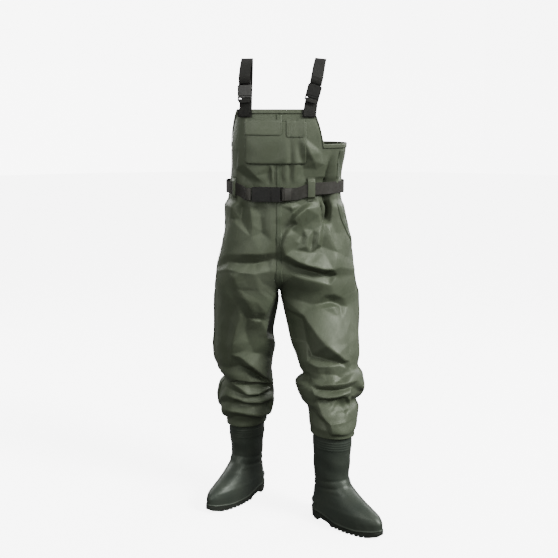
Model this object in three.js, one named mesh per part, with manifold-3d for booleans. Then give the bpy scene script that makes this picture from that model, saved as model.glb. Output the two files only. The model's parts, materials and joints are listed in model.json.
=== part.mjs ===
// Chest waders: a waterproof fabric body on two moulded boots, with a bib, a belt and two
// buckled shoulder straps. Millimetres, +Z up, the bib faces -Y, the wearer's left is +X.
import * as THREE from "three";
import { mergeVertices } from "three/addons/utils/BufferGeometryUtils.js";
import Module from "manifold-3d";

const wasm = await Module();
wasm.setup();

// ---------------------------------------------------------------- driving dimensions
const FOOTPRINT_CENTRE = [45.5, -73.8]; // middle of the object's box, which becomes the origin
const CROTCH_Z = 800;
const BIB_TOP_Z = 1430;
const BACK_TOP_Z = 1314;
const SPLIT_Z = 1200; // above this height the rows of a panel spread up to its own top edge
const FABRIC = 3; // wall of the fabric body
const SEAM_GAP = 0.4; // half the slit between two panels
const TAPE = 1.4; // thickness of tapes, hems and patches
const LIFT = 1.1; // clearance between the fabric and what is sewn on it
const BOOT_TOP_Z = 345;
const BOOT_WALL = 4;
const WEBBING = 2.4;
const WEBBING_WIDTH = 38;
const BELT_WIDTH = 40;

const FABRIC_COLOUR = 0x5c6452;
const TAPE_COLOUR = 0x545c4b;
const WEBBING_COLOUR = 0x232421;
const TAIL_COLOUR = 0x51544c;
const PLASTIC_COLOUR = 0x1b1c1a;
const BOOT_COLOUR = 0x343a32;
const SOLE_COLOUR = 0x262824;
const BAND_COLOUR = 0x2b2d29;

// Sections of each half of the body: [z, centre x, centre y, half width, front depth, back depth].
// Above the crotch a half section is cut by the plane x = 0; below it, it is a leg of its own.
const RIGHT_SECTIONS = [
  [286, 122, 76, 66, 74, 74],
  [318, 123, 73, 80, 84, 86],
  [345, 122, 70, 90, 90, 92],
  [372, 121, 67, 97, 88, 90],
  [402, 118, 63, 99, 94, 96],
  [436, 120, 59, 97, 92, 94],
  [468, 114, 55, 88, 86, 88],
  [505, 125, 50, 97, 98, 98],
  [545, 127, 45, 104, 104, 100],
  [590, 123, 38, 108, 104, 100],
  [640, 125, 30, 104, 102, 102],
  [700, 119, 18, 107, 106, 106],
  [760, 113, 4, 111, 110, 112],
  [800, 113, -5, 113.4, 112, 118],
  [832, 98, -7, 126, 116, 124],
  [870, 72, -8, 149, 121, 128],
  [930, 36, -9, 172, 126, 130],
  [1000, 10, -10, 183, 126, 128],
  [1070, 0, -10, 182, 122, 122],
  [1150, 0, -10, 172, 117, 114],
  [1200, 0, -10, 166, 119, 116],
  [1314, 0, -10, 160, 124, 116],
  [1430, 0, -10, 152, 112, 112],
];
const LEFT_SECTIONS = [
  [322, 186, -140, 68, 76, 76],
  [352, 187, -133, 80, 86, 88],
  [384, 186, -122, 81, 84, 88],
  [410, 185, -116, 84, 88, 92],
  [436, 171, -110, 91, 88, 96],
  [464, 177, -103, 110, 98, 106],
  [494, 176, -95, 118, 102, 108],
  [520, 186, -87, 101, 96, 98],
  [546, 172, -78, 99, 100, 96],
  [574, 169, -68, 105, 104, 98],
  [622, 162, -52, 118, 106, 102],
  [678, 155, -35, 124, 108, 106],
  [736, 147, -18, 130, 110, 112],
  [800, 135, -5, 135.4, 112, 118],
  [832, 118, -7, 151, 117, 124],
  [870, 85, -8, 179, 122, 128],
  [930, 44, -9, 212, 127, 130],
  [1000, 14, -10, 230, 127, 128],
  [1070, 0, -10, 226, 122, 122],
  [1150, 0, -10, 213, 117, 114],
  [1200, 0, -10, 217, 119, 116],
  [1314, 0, -10, 228, 124, 116],
  [1430, 0, -10, 205, 112, 112],
];
// The loose cloth at the wearer's left side falls into a valley beside the bib: [z, depth].
const VALLEY = [[985, 0], [1050, 18], [1100, 34], [1165, 34], [1230, 46], [1314, 50], [1430, 50]];
const VALLEY_ANGLE = 148;
const VALLEY_SPREAD = 10;

// side: -1 is the wearer's right, 1 the left. seam and corner are the angles, in degrees round the
// half section, of the side seam at the top of the body and of the bib's top corner.
const RIGHT = { name: "right", side: -1, sections: RIGHT_SECTIONS, seam: 180, corner: 146 };
const LEFT = { name: "left", side: 1, sections: LEFT_SECTIONS, seam: 153, corner: 124 };
// Where the shaft of each boot stands and how far its toe turns outwards.
RIGHT.boot = { axis: [-120, 76], turn: 36 };
LEFT.boot = { axis: [186, -140], turn: 45 };

// ---------------------------------------------------------------- small helpers
const radians = (degrees) => (degrees * Math.PI) / 180;
const mix = (a, b, t) => a + (b - a) * t;
const clamp01 = (t) => Math.min(1, Math.max(0, t));
const smooth = (t) => clamp01(t) ** 2 * (3 - 2 * clamp01(t));
const steps = (from, to, count) => Array.from({ length: count + 1 }, (_, i) => mix(from, to, i / count));

// The row of numbers at z, from a table whose rows start with z.
function rowAt(table, z) {
  const last = table.length - 1;
  if (z <= table[0][0]) return table[0];
  if (z >= table[last][0]) return table[last];
  const i = table.findIndex((row) => row[0] > z) - 1;
  const t = (z - table[i][0]) / (table[i + 1][0] - table[i][0]);
  return table[i].map((value, k) => mix(value, table[i + 1][k], t));
}

// A closed solid from a grid of outer points and a matching grid of inner points.
function shell(outer, inner, closed = false) {
  const rows = outer.length;
  const columns = outer[0].length;
  const positions = [...outer.flat(), ...inner.flat()].flat();
  const index = [];
  const at = (layer, i, j) => layer * rows * columns + i * columns + (j % columns);
  const quad = (a, b, c, d) => index.push(a, b, c, a, c, d);
  const spans = closed ? columns : columns - 1;
  for (let i = 0; i < rows - 1; i++)
    for (let j = 0; j < spans; j++) {
      quad(at(0, i, j), at(0, i, j + 1), at(0, i + 1, j + 1), at(0, i + 1, j));
      quad(at(1, i, j), at(1, i + 1, j), at(1, i + 1, j + 1), at(1, i, j + 1));
    }
  for (let j = 0; j < spans; j++) {
    quad(at(0, 0, j), at(1, 0, j), at(1, 0, j + 1), at(0, 0, j + 1));
    quad(at(0, rows - 1, j), at(0, rows - 1, j + 1), at(1, rows - 1, j + 1), at(1, rows - 1, j));
  }
  for (let i = 0; i < rows - 1 && !closed; i++) {
    quad(at(0, i, 0), at(0, i + 1, 0), at(1, i + 1, 0), at(1, i, 0));
    quad(at(0, i, columns - 1), at(1, i, columns - 1), at(1, i + 1, columns - 1), at(0, i + 1, columns - 1));
  }
  return facingOut(geometryOf(positions, index));
}

function geometryOf(positions, index) {
  const geometry = new THREE.BufferGeometry();
  geometry.setAttribute("position", new THREE.Float32BufferAttribute(positions, 3));
  geometry.setIndex(index);
  return geometry;
}

// Turns every face round if the solid is inside out.
function facingOut(geometry) {
  const p = geometry.attributes.position;
  const index = geometry.index.array;
  let volume = 0;
  const [a, b, c] = [new THREE.Vector3(), new THREE.Vector3(), new THREE.Vector3()];
  for (let i = 0; i < index.length; i += 3) {
    a.fromBufferAttribute(p, index[i]);
    b.fromBufferAttribute(p, index[i + 1]);
    c.fromBufferAttribute(p, index[i + 2]);
    volume += a.dot(b.cross(c));
  }
  if (volume < 0)
    for (let i = 0; i < index.length; i += 3) [index[i], index[i + 1]] = [index[i + 1], index[i]];
  return geometry;
}

function solidOf(geometry) {
  const bare = geometry.clone();
  bare.deleteAttribute("normal");
  bare.deleteAttribute("uv");
  const merged = mergeVertices(bare, 1e-3);
  const mesh = new wasm.Mesh({
    numProp: 3,
    vertProperties: new Float32Array(merged.attributes.position.array),
    triVerts: new Uint32Array(merged.index.array),
  });
  return new wasm.Manifold(mesh);
}

function geometryFrom(solid) {
  const { vertProperties, triVerts, numProp, numVert } = solid.getMesh();
  const positions = [];
  for (let i = 0; i < numVert; i++) positions.push(...vertProperties.slice(i * numProp, i * numProp + 3));
  return geometryOf(positions, [...triVerts]);
}

// A box between two corners, as a geometry.
function boxBetween([x0, y0, z0], [x1, y1, z1]) {
  const box = new THREE.BoxGeometry(x1 - x0, y1 - y0, z1 - z0);
  return box.translate((x0 + x1) / 2, (y0 + y1) / 2, (z0 + z1) / 2);
}

const cut = (geometry, ...tools) =>
  geometryFrom(tools.reduce((solid, tool) => solid.subtract(solidOf(tool)), solidOf(geometry)));
const join = (first, ...others) =>
  geometryFrom(others.reduce((solid, other) => solid.add(solidOf(other)), solidOf(first)));

const materials = new Map();
function materialOf(colour, roughness) {
  const key = colour + ":" + roughness;
  if (!materials.has(key))
    materials.set(key, new THREE.MeshStandardMaterial({ color: colour, roughness, metalness: 0 }));
  return materials.get(key);
}

const waders = new THREE.Group();
waders.position.set(-FOOTPRINT_CENTRE[0], -FOOTPRINT_CENTRE[1], 0);

function addMesh(name, geometry, colour, roughness, parent = waders) {
  const mesh = new THREE.Mesh(geometry, materialOf(colour, roughness));
  mesh.name = name;
  parent.add(mesh);
  return mesh;
}

// ---------------------------------------------------------------- the body's surface
// Roundness of the section: 2 is an ellipse, and the chest is squarer.
const roundness = (z) => 2.1 + 0.4 * smooth((z - 760) / 200) + 0.7 * smooth((z - 1180) / 200);

// Distance from the boot's axis to its shaft, in the direction of a plan angle.
const SHAFT_HALF_WIDTH = 62;
const SHAFT_HALF_DEPTH = 75;
function shaftRadius(half, x, y) {
  const along = footDirection(half);
  const length = Math.hypot(x, y);
  const forward = (x * along.x + y * along.y) / length;
  const sideways = (x * along.y - y * along.x) / length;
  return 1 / Math.hypot(forward / SHAFT_HALF_DEPTH, sideways / SHAFT_HALF_WIDTH);
}

function footDirection(half) {
  const turn = radians(half.boot.turn);
  return { x: half.side * Math.sin(turn), y: -Math.cos(turn) };
}

// The angle at which the half section meets the plane x = 0, or the inseam below the crotch.
function innerAngle(half, z) {
  const [, cx, , a] = rowAt(half.sections, z);
  const n = roundness(z);
  return z <= CROTCH_Z ? 0 : (Math.acos(clamp01(cx / a) ** (n / 2)) * 180) / Math.PI;
}

// A point on the outside of the body: angle runs from 0 at the inner leg through 90 at the front
// to 180 at the outer side and 270 at the back. out moves it outwards in plan.
function skin(half, z, angle, out = 0) {
  const [, cx, cy, a, front, back] = rowAt(half.sections, z);
  const power = 2 / roundness(z);
  const cos = Math.cos(radians(angle));
  const sin = Math.sin(radians(angle));
  const b = sin >= 0 ? front : back;
  let x = cx - a * Math.sign(cos) * Math.abs(cos) ** power;
  let y = cy - b * Math.sign(sin) * Math.abs(sin) ** power;
  if (half === LEFT) {
    const depth = rowAt(VALLEY, z)[1] * Math.exp(-(((angle - VALLEY_ANGLE) / VALLEY_SPREAD) ** 2));
    const length = Math.hypot(x, y - cy);
    x -= (x / length) * depth;
    y -= ((y - cy) / length) * depth;
  }
  const hem = half.sections[0][0];
  const toBoot = 1 - smooth((z - hem - 4) / 34);
  if (toBoot > 0) {
    const [bx, by] = [Math.abs(half.boot.axis[0]), half.boot.axis[1]];
    const [dx, dy] = [x - bx, y - by];
    const reach = shaftRadius(half, dx * half.side, dy) + 2 * LIFT + TAPE + FABRIC + 1;
    const length = Math.hypot(dx, dy);
    x = mix(x, bx + (dx / length) * reach, toBoot);
    y = mix(y, by + (dy / length) * reach, toBoot);
  }
  const [nx, ny] = out ? planNormal(half, z, angle) : [0, 0];
  return [half.side * (x + nx * out), y + ny * out, z];
}

// Outward direction in plan, before the half is mirrored to its side.
function planNormal(half, z, angle) {
  const before = skin(half, z, angle - 3);
  const after = skin(half, z, angle + 3);
  const [tx, ty] = [half.side * (after[0] - before[0]), after[1] - before[1]];
  const length = Math.hypot(tx, ty);
  return [ty / length, -tx / length];
}

// Angle of the side seam: it follows the valley beside the bib and reaches 180 at the hips.
const seamAngle = (half, z) => mix(180, half.seam, smooth((z - 900) / 200));

// ---------------------------------------------------------------- fabric panels
// Height of a panel's top edge at an angle: the bib stands higher than the sides and back.
function topEdge(half, angle) {
  const fall = smooth((angle - half.corner) / (half.seam - half.corner - 2));
  return mix(BIB_TOP_Z, BACK_TOP_Z, fall);
}

// Heights of the rows of points of a panel, from the hem up to the top edge.
function rowHeights(half, top) {
  const lower = half.sections.map((row) => row[0]).filter((z) => z < SPLIT_Z);
  return [...lower, ...steps(SPLIT_Z, top, 4)];
}

// A panel of cloth between two angles that follow the height.
function panel(half, columns, angleAt, topAt) {
  const grid = (out) => {
    const strips = columns.map((u) =>
      rowHeights(half, topAt(angleAt(u, SPLIT_Z))).map((z) => {
        const [x, y] = skin(half, z, angleAt(u, z), out);
        return [awayFromMiddle(half, x, z), y, z];
      }),
    );
    return strips[0].map((_, i) => strips.map((strip) => strip[i]));
  };
  return shell(grid(0), grid(-FABRIC));
}

// Above the crotch the two halves stop just short of the plane x = 0.
const awayFromMiddle = (half, x, z) =>
  z >= CROTCH_Z - 1 ? half.side * Math.max(SEAM_GAP, x * half.side) : x;

const slit = (z) => (z > CROTCH_Z + 60 ? 0 : 0.5); // degrees left open at the inseam
const FRONT_COLUMNS = [0, 0.1, 0.2, 0.31, 0.43, 0.55, 0.66, 0.76, 0.85, 0.93, 1];
const BACK_COLUMNS = [0, 0.07, 0.15, 0.24, 0.34, 0.45, 0.56, 0.67, 0.78, 0.89, 1];

for (const half of [RIGHT, LEFT]) {
  const front = (u, z) => mix(innerAngle(half, z) + slit(z), seamAngle(half, z) - 0.15, u);
  const back = (u, z) => mix(seamAngle(half, z) + 0.15, 360 - innerAngle(half, z) - slit(z), u);
  addMesh(
    half.name + "_front_panel",
    panel(half, FRONT_COLUMNS, front, (angle) => topEdge(half, angle)),
    FABRIC_COLOUR,
    0.4,
  );
  addMesh(half.name + "_back_panel", panel(half, BACK_COLUMNS, back, () => BACK_TOP_Z), FABRIC_COLOUR, 0.4);
}

// ---------------------------------------------------------------- things sewn on the fabric
waders.updateMatrixWorld(true);
const panels = waders.children.slice();
const ray = new THREE.Raycaster();

// The point `out` off the fabric, found by looking along a direction from outside the body. Three
// close lines of sight are tried, because one may fall in the slit between two panels.
function onFabric(from, direction, out) {
  const look = new THREE.Vector3(...direction).normalize();
  const aside = new THREE.Vector3(-look.y, look.x, 0);
  const start = new THREE.Vector3(...from).add(waders.position);
  const hits = [-3, 0, 3].flatMap((shift) => {
    ray.set(start.clone().addScaledVector(aside, shift), look);
    return ray.intersectObjects(panels).slice(0, 1);
  });
  const hit = hits.reduce((best, each) => (each.distance < best.distance ? each : best));
  const point = start.addScaledVector(look, hit.distance).sub(waders.position);
  return [point.x + hit.face.normal.x * out, point.y + hit.face.normal.y * out, from[2]];
}

// The same, looking straight in at the section's centre from a plan angle.
function hug(half, z, angle, out) {
  const [px, py] = skin(half, z, angle, 12);
  const [qx, qy] = skin(half, z, angle, -40);
  return onFabric([px, py, z], [qx - px, qy - py, 0], out);
}

const frontPoint = (x, z, out) => onFabric([x, -500, z], [0, 1, 0], out);
const backPoint = (x, z, out) => onFabric([x, 500, z], [0, -1, 0], out);

// A layer of cloth over a grid of places, each place giving a point for a clearance.
function layer(places, clearance, thickness) {
  const grid = (out) => places.map((row) => row.map((place) => place(out)));
  return shell(grid(clearance + thickness), grid(clearance));
}

// A flat strip of webbing along a path. Its width runs along `across`, which may be given for each
// point, and its thickness lies on the side of across x path.
function ribbon(path, width, thickness, across) {
  const points = path.map((p) => new THREE.Vector3(...p));
  const rows = points.map((p, i) => {
    const ahead = points[Math.min(i + 1, points.length - 1)];
    const behind = points[Math.max(i - 1, 0)];
    const tangent = ahead.clone().sub(behind).normalize();
    const wish = new THREE.Vector3(...(Array.isArray(across[0]) ? across[i] : across));
    const side = wish.clone().addScaledVector(tangent, -wish.dot(tangent)).normalize();
    const normal = side.clone().cross(tangent);
    const at = (s, n) =>
      p.clone().addScaledVector(side, (s * width) / 2).addScaledVector(normal, n).toArray();
    return { outer: [at(-1, thickness), at(1, thickness)], inner: [at(-1, 0), at(1, 0)] };
  });
  return shell(rows.map((row) => row.outer), rows.map((row) => row.inner));
}

// Seam tapes: one down the middle of the front, one down each side and each inner leg.
const SEAM_TAPE_WIDTH = 16;
const between = (heights, from, to) => [from, ...heights.filter((z) => z > from + 3 && z < to - 3), to];
const frontSeam = between(rowHeights(RIGHT, BIB_TOP_Z), CROTCH_Z + 34, BIB_TOP_Z - 6).map((z) =>
  [-1, 0, 1].map((s) => (out) => frontPoint((s * SEAM_TAPE_WIDTH) / 2, z, out)),
);
addMesh("centre_front_seam", layer(frontSeam, LIFT, TAPE), TAPE_COLOUR, 0.45);

for (const half of [RIGHT, LEFT]) {
  const top = BACK_TOP_Z - 4;
  const hem = half.sections[0][0] + 4;
  const turnFor = (z) => ((SEAM_TAPE_WIDTH / 2 / rowAt(half.sections, z)[4]) * 180) / Math.PI;
  const heights = rowHeights(half, BACK_TOP_Z);
  const sideSeam = between(heights, hem, top).map((z) =>
    [-1, 0, 1].map((s) => (out) => hug(half, z, seamAngle(half, z) + s * turnFor(z), out)),
  );
  const clearance = half === LEFT ? LIFT + 4 : LIFT + 0.5; // the left one bridges a valley
  addMesh(half.name + "_side_seam", layer(sideSeam, clearance, TAPE), TAPE_COLOUR, 0.45);
  const inseam = between(heights, hem, CROTCH_Z - 75).map((z) =>
    [-1, 0, 1].map((s) => (out) => hug(half, z, s * turnFor(z), out)),
  );
  addMesh(half.name + "_inseam", layer(inseam, LIFT, TAPE), TAPE_COLOUR, 0.45);
}

// Hems: the bound edges of the bib and of the low back.
const HEM = 20;
const hemPlaces = (half, angles, topAt) =>
  angles.map((angle) => [0, 0.5, 1].map((t) => (out) => hug(half, topAt(angle) - 1.5 - t * HEM, angle, out)));
const bibAngles = (half) => steps(half.corner - 4, innerAngle(half, BIB_TOP_Z) + 1.2, 10);
const bibHem = [
  ...hemPlaces(RIGHT, bibAngles(RIGHT), (angle) => topEdge(RIGHT, angle)),
  ...hemPlaces(LEFT, bibAngles(LEFT).reverse(), (angle) => topEdge(LEFT, angle)),
];
addMesh("bib_hem", layer(bibHem, LIFT + TAPE + 0.8, TAPE), TAPE_COLOUR, 0.45);
const backAngles = (half) => {
  const end = 360 - innerAngle(half, BACK_TOP_Z) - 0.5;
  return between(BACK_COLUMNS.map((u) => mix(half.seam, end, u)), half.seam + 9, end - 1);
};
const backHem = [
  ...hemPlaces(RIGHT, backAngles(RIGHT), () => BACK_TOP_Z),
  ...hemPlaces(LEFT, backAngles(LEFT).reverse(), () => BACK_TOP_Z),
];
addMesh("back_hem", layer(backHem, LIFT, TAPE), TAPE_COLOUR, 0.45);

// Chest pocket and its two flaps, which lift about their top edges.
const POCKET = { x: [-112, 90], z: [1249, 1386] };
const FLAPS = [
  { name: "large_pocket_flap", x: [-110, 9], z: [1343, 1394] },
  { name: "small_pocket_flap", x: [24, 84], z: [1337, 1394] },
];
const patch = ({ x, z }, columns, rows) =>
  steps(z[0], z[1], rows).map((pz) =>
    steps(x[0], x[1], columns).map((px) => (out) => frontPoint(px, pz, out)),
  );
const POCKET_CLEARANCE = 2 * LIFT + TAPE;
addMesh("chest_pocket", layer(patch(POCKET, 14, 6), POCKET_CLEARANCE, TAPE), FABRIC_COLOUR, 0.4);
for (const flap of FLAPS)
  addMesh(flap.name, layer(patch(flap, 8, 3), POCKET_CLEARANCE + TAPE + 1, 1.8), FABRIC_COLOUR, 0.4);

// ---------------------------------------------------------------- boots
const SOLE_TOP = [[100, 31], [15, 30], [-62, 17], [-150, 15], [-205, 22], [-240, 30]]; // forward is -
// Sections of the boot: [z, back, front, half width], measured from the shaft's axis.
const BOOT_SECTIONS = [
  [-6, 74, 226, 47],
  [20, 76, 227, 49],
  [48, 76, 226, 50],
  [66, 74, 216, 50],
  [82, 72, 192, 49],
  [100, 70, 154, 49],
  [122, 69, 108, 50],
  [146, 68, 76, 52],
  [180, 69, 64, 55],
  [230, 72, 68, 58],
  [290, 73, 72, 60],
  [BOOT_TOP_Z, 72, 72, 60],
];
const BOOT_COLUMNS = 22;

// One closed slice of the boot, in its own frame: the toe points to -Y.
function bootOutline(half, [z, back, front, halfWidth], inset) {
  return Array.from({ length: BOOT_COLUMNS }, (_, i) => {
    const turn = (2 * Math.PI * i) / BOOT_COLUMNS;
    const forward = Math.cos(turn);
    const reach = forward > 0 ? front : back;
    const swell = 1 + 0.08 * clamp01((reach - 100) / 120) * forward;
    const long = Math.max(0, front - 120) / 106; // how much of a foot this slice is
    const y = -Math.sign(forward) * Math.abs(forward) ** mix(1, 0.8, long) * (reach - inset);
    const x = Math.sin(turn) * (halfWidth - inset) * swell;
    const inward = long * 9 * Math.sin(Math.PI * clamp01(-y / 200)) * -half.side;
    return [x + inward, y, z];
  });
}

function bootLoft(half, inset, from = -6, to = BOOT_TOP_Z) {
  const rows = BOOT_SECTIONS.filter(([z]) => z > from && z < to);
  const slices = [rowAt(BOOT_SECTIONS, from), ...rows, rowAt(BOOT_SECTIONS, to)];
  slices[0] = [from, ...slices[0].slice(1)];
  slices[slices.length - 1] = [to, ...slices.at(-1).slice(1)];
  const rings = slices.map((slice) => bootOutline(half, slice, inset));
  const positions = rings.flat(2);
  const index = [];
  const n = BOOT_COLUMNS;
  for (let i = 0; i < rings.length - 1; i++)
    for (let j = 0; j < n; j++) {
      const k = (j + 1) % n;
      index.push(i * n + j, i * n + k, (i + 1) * n + k, i * n + j, (i + 1) * n + k, (i + 1) * n + j);
    }
  for (let j = 1; j < n - 1; j++) {
    index.push(0, j + 1, j);
    const last = (rings.length - 1) * n;
    index.push(last, last + j, last + j + 1);
  }
  return facingOut(geometryOf(positions, index));
}

// A solid with a side profile, given as [y, z] points, running right across the boot.
function acrossBoot(profile) {
  const shape = new THREE.Shape(profile.map(([y, z]) => new THREE.Vector2(y, z)));
  const slab = new THREE.ExtrudeGeometry(shape, { depth: 200, bevelEnabled: false });
  return slab.applyMatrix4(new THREE.Matrix4().set(0, 0, 1, -100, 1, 0, 0, 0, 0, 1, 0, 0, 0, 0, 0, 1));
}

const above = (rise) =>
  acrossBoot([...SOLE_TOP.map(([y, z]) => [y, z + rise]), [-240, 500], [100, 500]]);
const below = (drop) =>
  acrossBoot([...SOLE_TOP.map(([y, z]) => [y, z + drop]), [-240, -50], [100, -50]]);

const HEEL_FRONT = 22;
const LUG_PITCH = 17;
const LUG_DEPTH = 5;
function soleProfile() {
  const bottom = [[-240, 24], [-222, 10], [-196, 3]];
  for (let y = -182; y < -52; y += LUG_PITCH)
    bottom.push([y, 0], [y + 1.5, LUG_DEPTH], [y + 6, LUG_DEPTH], [y + 7.5, 0]);
  bottom.push([-46, 0], [-38, 9], [HEEL_FRONT - 8, 14], [HEEL_FRONT, 0], [44, 0], [46, 4], [52, 4], [54, 0]);
  bottom.push([100, 0]);
  return [...bottom, ...SOLE_TOP];
}

const meet = (a, b) => geometryFrom(solidOf(a).intersect(solidOf(b)));
const BOOT_GAP = 0.5;
const INSOLE = 4;

for (const half of [RIGHT, LEFT]) {
  const boot = new THREE.Group();
  boot.position.set(half.boot.axis[0], half.boot.axis[1], 0);
  boot.rotation.z = radians(half.side * half.boot.turn);
  waders.add(boot);
  const floor = BOOT_GAP + BOOT_WALL + 1;
  const outside = meet(bootLoft(half, 0), above(BOOT_GAP));
  const inside = meet(bootLoft(half, BOOT_WALL, -6, BOOT_TOP_Z + 5), above(floor));
  addMesh(half.name + "_boot_upper", cut(outside, inside), BOOT_COLOUR, 0.5, boot);
  const insoleBlank = meet(bootLoft(half, BOOT_WALL + 0.7, -6, 60), above(floor + 0.4));
  addMesh(half.name + "_insole", meet(insoleBlank, below(floor + 0.4 + INSOLE)), 0x3a3a38, 0.9, boot);
  const soleBlank = bootLoft(half, -3, -6, 40);
  addMesh(half.name + "_outsole", meet(soleBlank, acrossBoot(soleProfile())), SOLE_COLOUR, 0.6, boot);

  // The band that seals the leg of the fabric to the shaft of the boot.
  const hem = half.sections[0][0];
  const bandRing = (z, out) => bootOutline(half, rowAt(BOOT_SECTIONS, z), -out).map(([x, y]) => [x, y, z]);
  const rings = (out) => [hem + 6, BOOT_TOP_Z - 4].map((z) => bandRing(z, out));
  const band = shell(rings(LIFT + TAPE), rings(LIFT), true);
  addMesh(half.name + "_boot_band", band, BAND_COLOUR, 0.6, boot);
}

// ---------------------------------------------------------------- buckles
// A side-release buckle in its own frame: the socket pulls off along +Y, X runs across, and +Z faces
// away from the wearer. The origin is the middle of the parting line between the two halves.
const FIT = 0.5;
function sideRelease({ width, socket, base, thickness, slot }) {
  const half = width / 2;
  const [front, back] = [thickness / 2, -thickness / 2];
  const cavity = thickness / 2 - 1.9;
  const arm = socket * 0.62;
  const housing = cut(
    join(
      boxBetween([-half, 0, back], [half, socket, front]),
      boxBetween([-half + 3, socket - 2, -2.2], [half - 3, socket + 13, 2.2]),
    ),
    boxBetween([-half - 1, -1, -cavity], [half + 1, arm + 3, cavity]),
    boxBetween([-8, -1, -cavity], [8, socket - 6, cavity]),
    boxBetween([-slot / 2, socket + 2, -9], [slot / 2, socket + 8.5, 9]),
  );
  const tongue = boxBetween([-5, -1, -1.6], [5, socket - 8, 1.6]);
  const insert = cut(
    join(
      boxBetween([-half, -base, back + 1], [half, -FIT, front - 1]),
      tongue,
    ),
    boxBetween([-slot / 2, -base + 3.5, -9], [slot / 2, -base + 10, 9]),
  );
  // Each arm springs from the base and ends in a head that fills the side opening of the socket.
  const armOf = (side) => {
    const shape = new THREE.Shape(
      [
        [half - 9.5, 0.1], [half - 3.5, 0.1], [half - 4.5, arm * 0.5], [half - 0.4, arm * 0.62],
        [half - 0.4, arm * 0.8], [half - 5, arm], [half - 9.5, arm],
      ].map(([x, y]) => new THREE.Vector2(x * side, y)),
    );
    const depth = 2 * cavity - 2 * FIT;
    return new THREE.ExtrudeGeometry(shape, { depth, bevelEnabled: false }).translate(0, 0, -depth / 2);
  };
  return { socket: housing, insert, arms: [armOf(-1), armOf(1)], pivot: [half - 6.5, 0.1, 0] };
}

const placed = (geometry, matrix) => geometry.clone().applyMatrix4(matrix);

// A frame whose Y axis is `pull` and whose Z axis faces away from the wearer.
function buckleFrame(origin, pull, facing) {
  const y = new THREE.Vector3(...pull).normalize();
  const z = new THREE.Vector3(...facing);
  z.addScaledVector(y, -y.dot(z)).normalize();
  const x = y.clone().cross(z);
  return new THREE.Matrix4().makeBasis(x, y, z).setPosition(...origin);
}

const along = (matrix, x, y, z) => new THREE.Vector3(x, y, z).applyMatrix4(matrix).toArray();
const axisOf = (matrix, column) => new THREE.Vector3().setFromMatrixColumn(matrix, column).toArray();
const blend3 = (a, b, t) => a.map((value, i) => mix(value, b[i], t));

// Webbing round the bar of a buckle: over the bar of the insert, or under that of the socket.
const roundInsertBar = (frame, y, reach) => {
  const under = [[y - 6, -reach], [y + 2, -reach], [y + 4.9, -3], [y + 5.3, 0]];
  const over = [[y + 4.9, 3], [y + 2, reach], [y - 8, reach + 0.8]];
  return [...under, ...over].map(([v, w]) => along(frame, 0, v, w));
};
const roundSocketBar = (frame, y) =>
  [[y + 7, -6], [y - 1.5, -5], [y - 5, -2.6], [y - 5.4, 0], [y - 5, 2.6], [y - 1.5, 5], [y + 8, 6]]
    .map(([v, w]) => along(frame, 0, v, w));

function addBuckle(prefix, latches, frame, size) {
  const { socket, insert, arms } = sideRelease(size);
  addMesh(prefix + "_insert", placed(insert, frame), PLASTIC_COLOUR, 0.45);
  addMesh(prefix + "_socket", placed(socket, frame), PLASTIC_COLOUR, 0.45);
  latches.forEach((name, i) => addMesh(name, placed(arms[i], frame), PLASTIC_COLOUR, 0.45));
}

// ---------------------------------------------------------------- shoulder straps
const STRAP_BUCKLE = { width: 46, socket: 34, base: 17, thickness: 10, slot: 39.5 };
const APEX_Z = 1592;
const STRAPS = {
  right: { half: RIGHT, foot: -110, buckle: [-112, 1470], lean: 0, apexX: -106, backX: -116 },
  left: { half: LEFT, foot: 98, buckle: [109, 1470], lean: 0.27, apexX: 140, backX: 106 },
};
const ANCHOR_CLEARANCE = LIFT + 2 * TAPE + 1.7;
const ANCHOR = 1; // thickness of the stitched patches
const STRAP_CLEARANCE = ANCHOR_CLEARANCE + ANCHOR + 0.9;
const PATCH = { width: 44, height: 26 };

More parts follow.
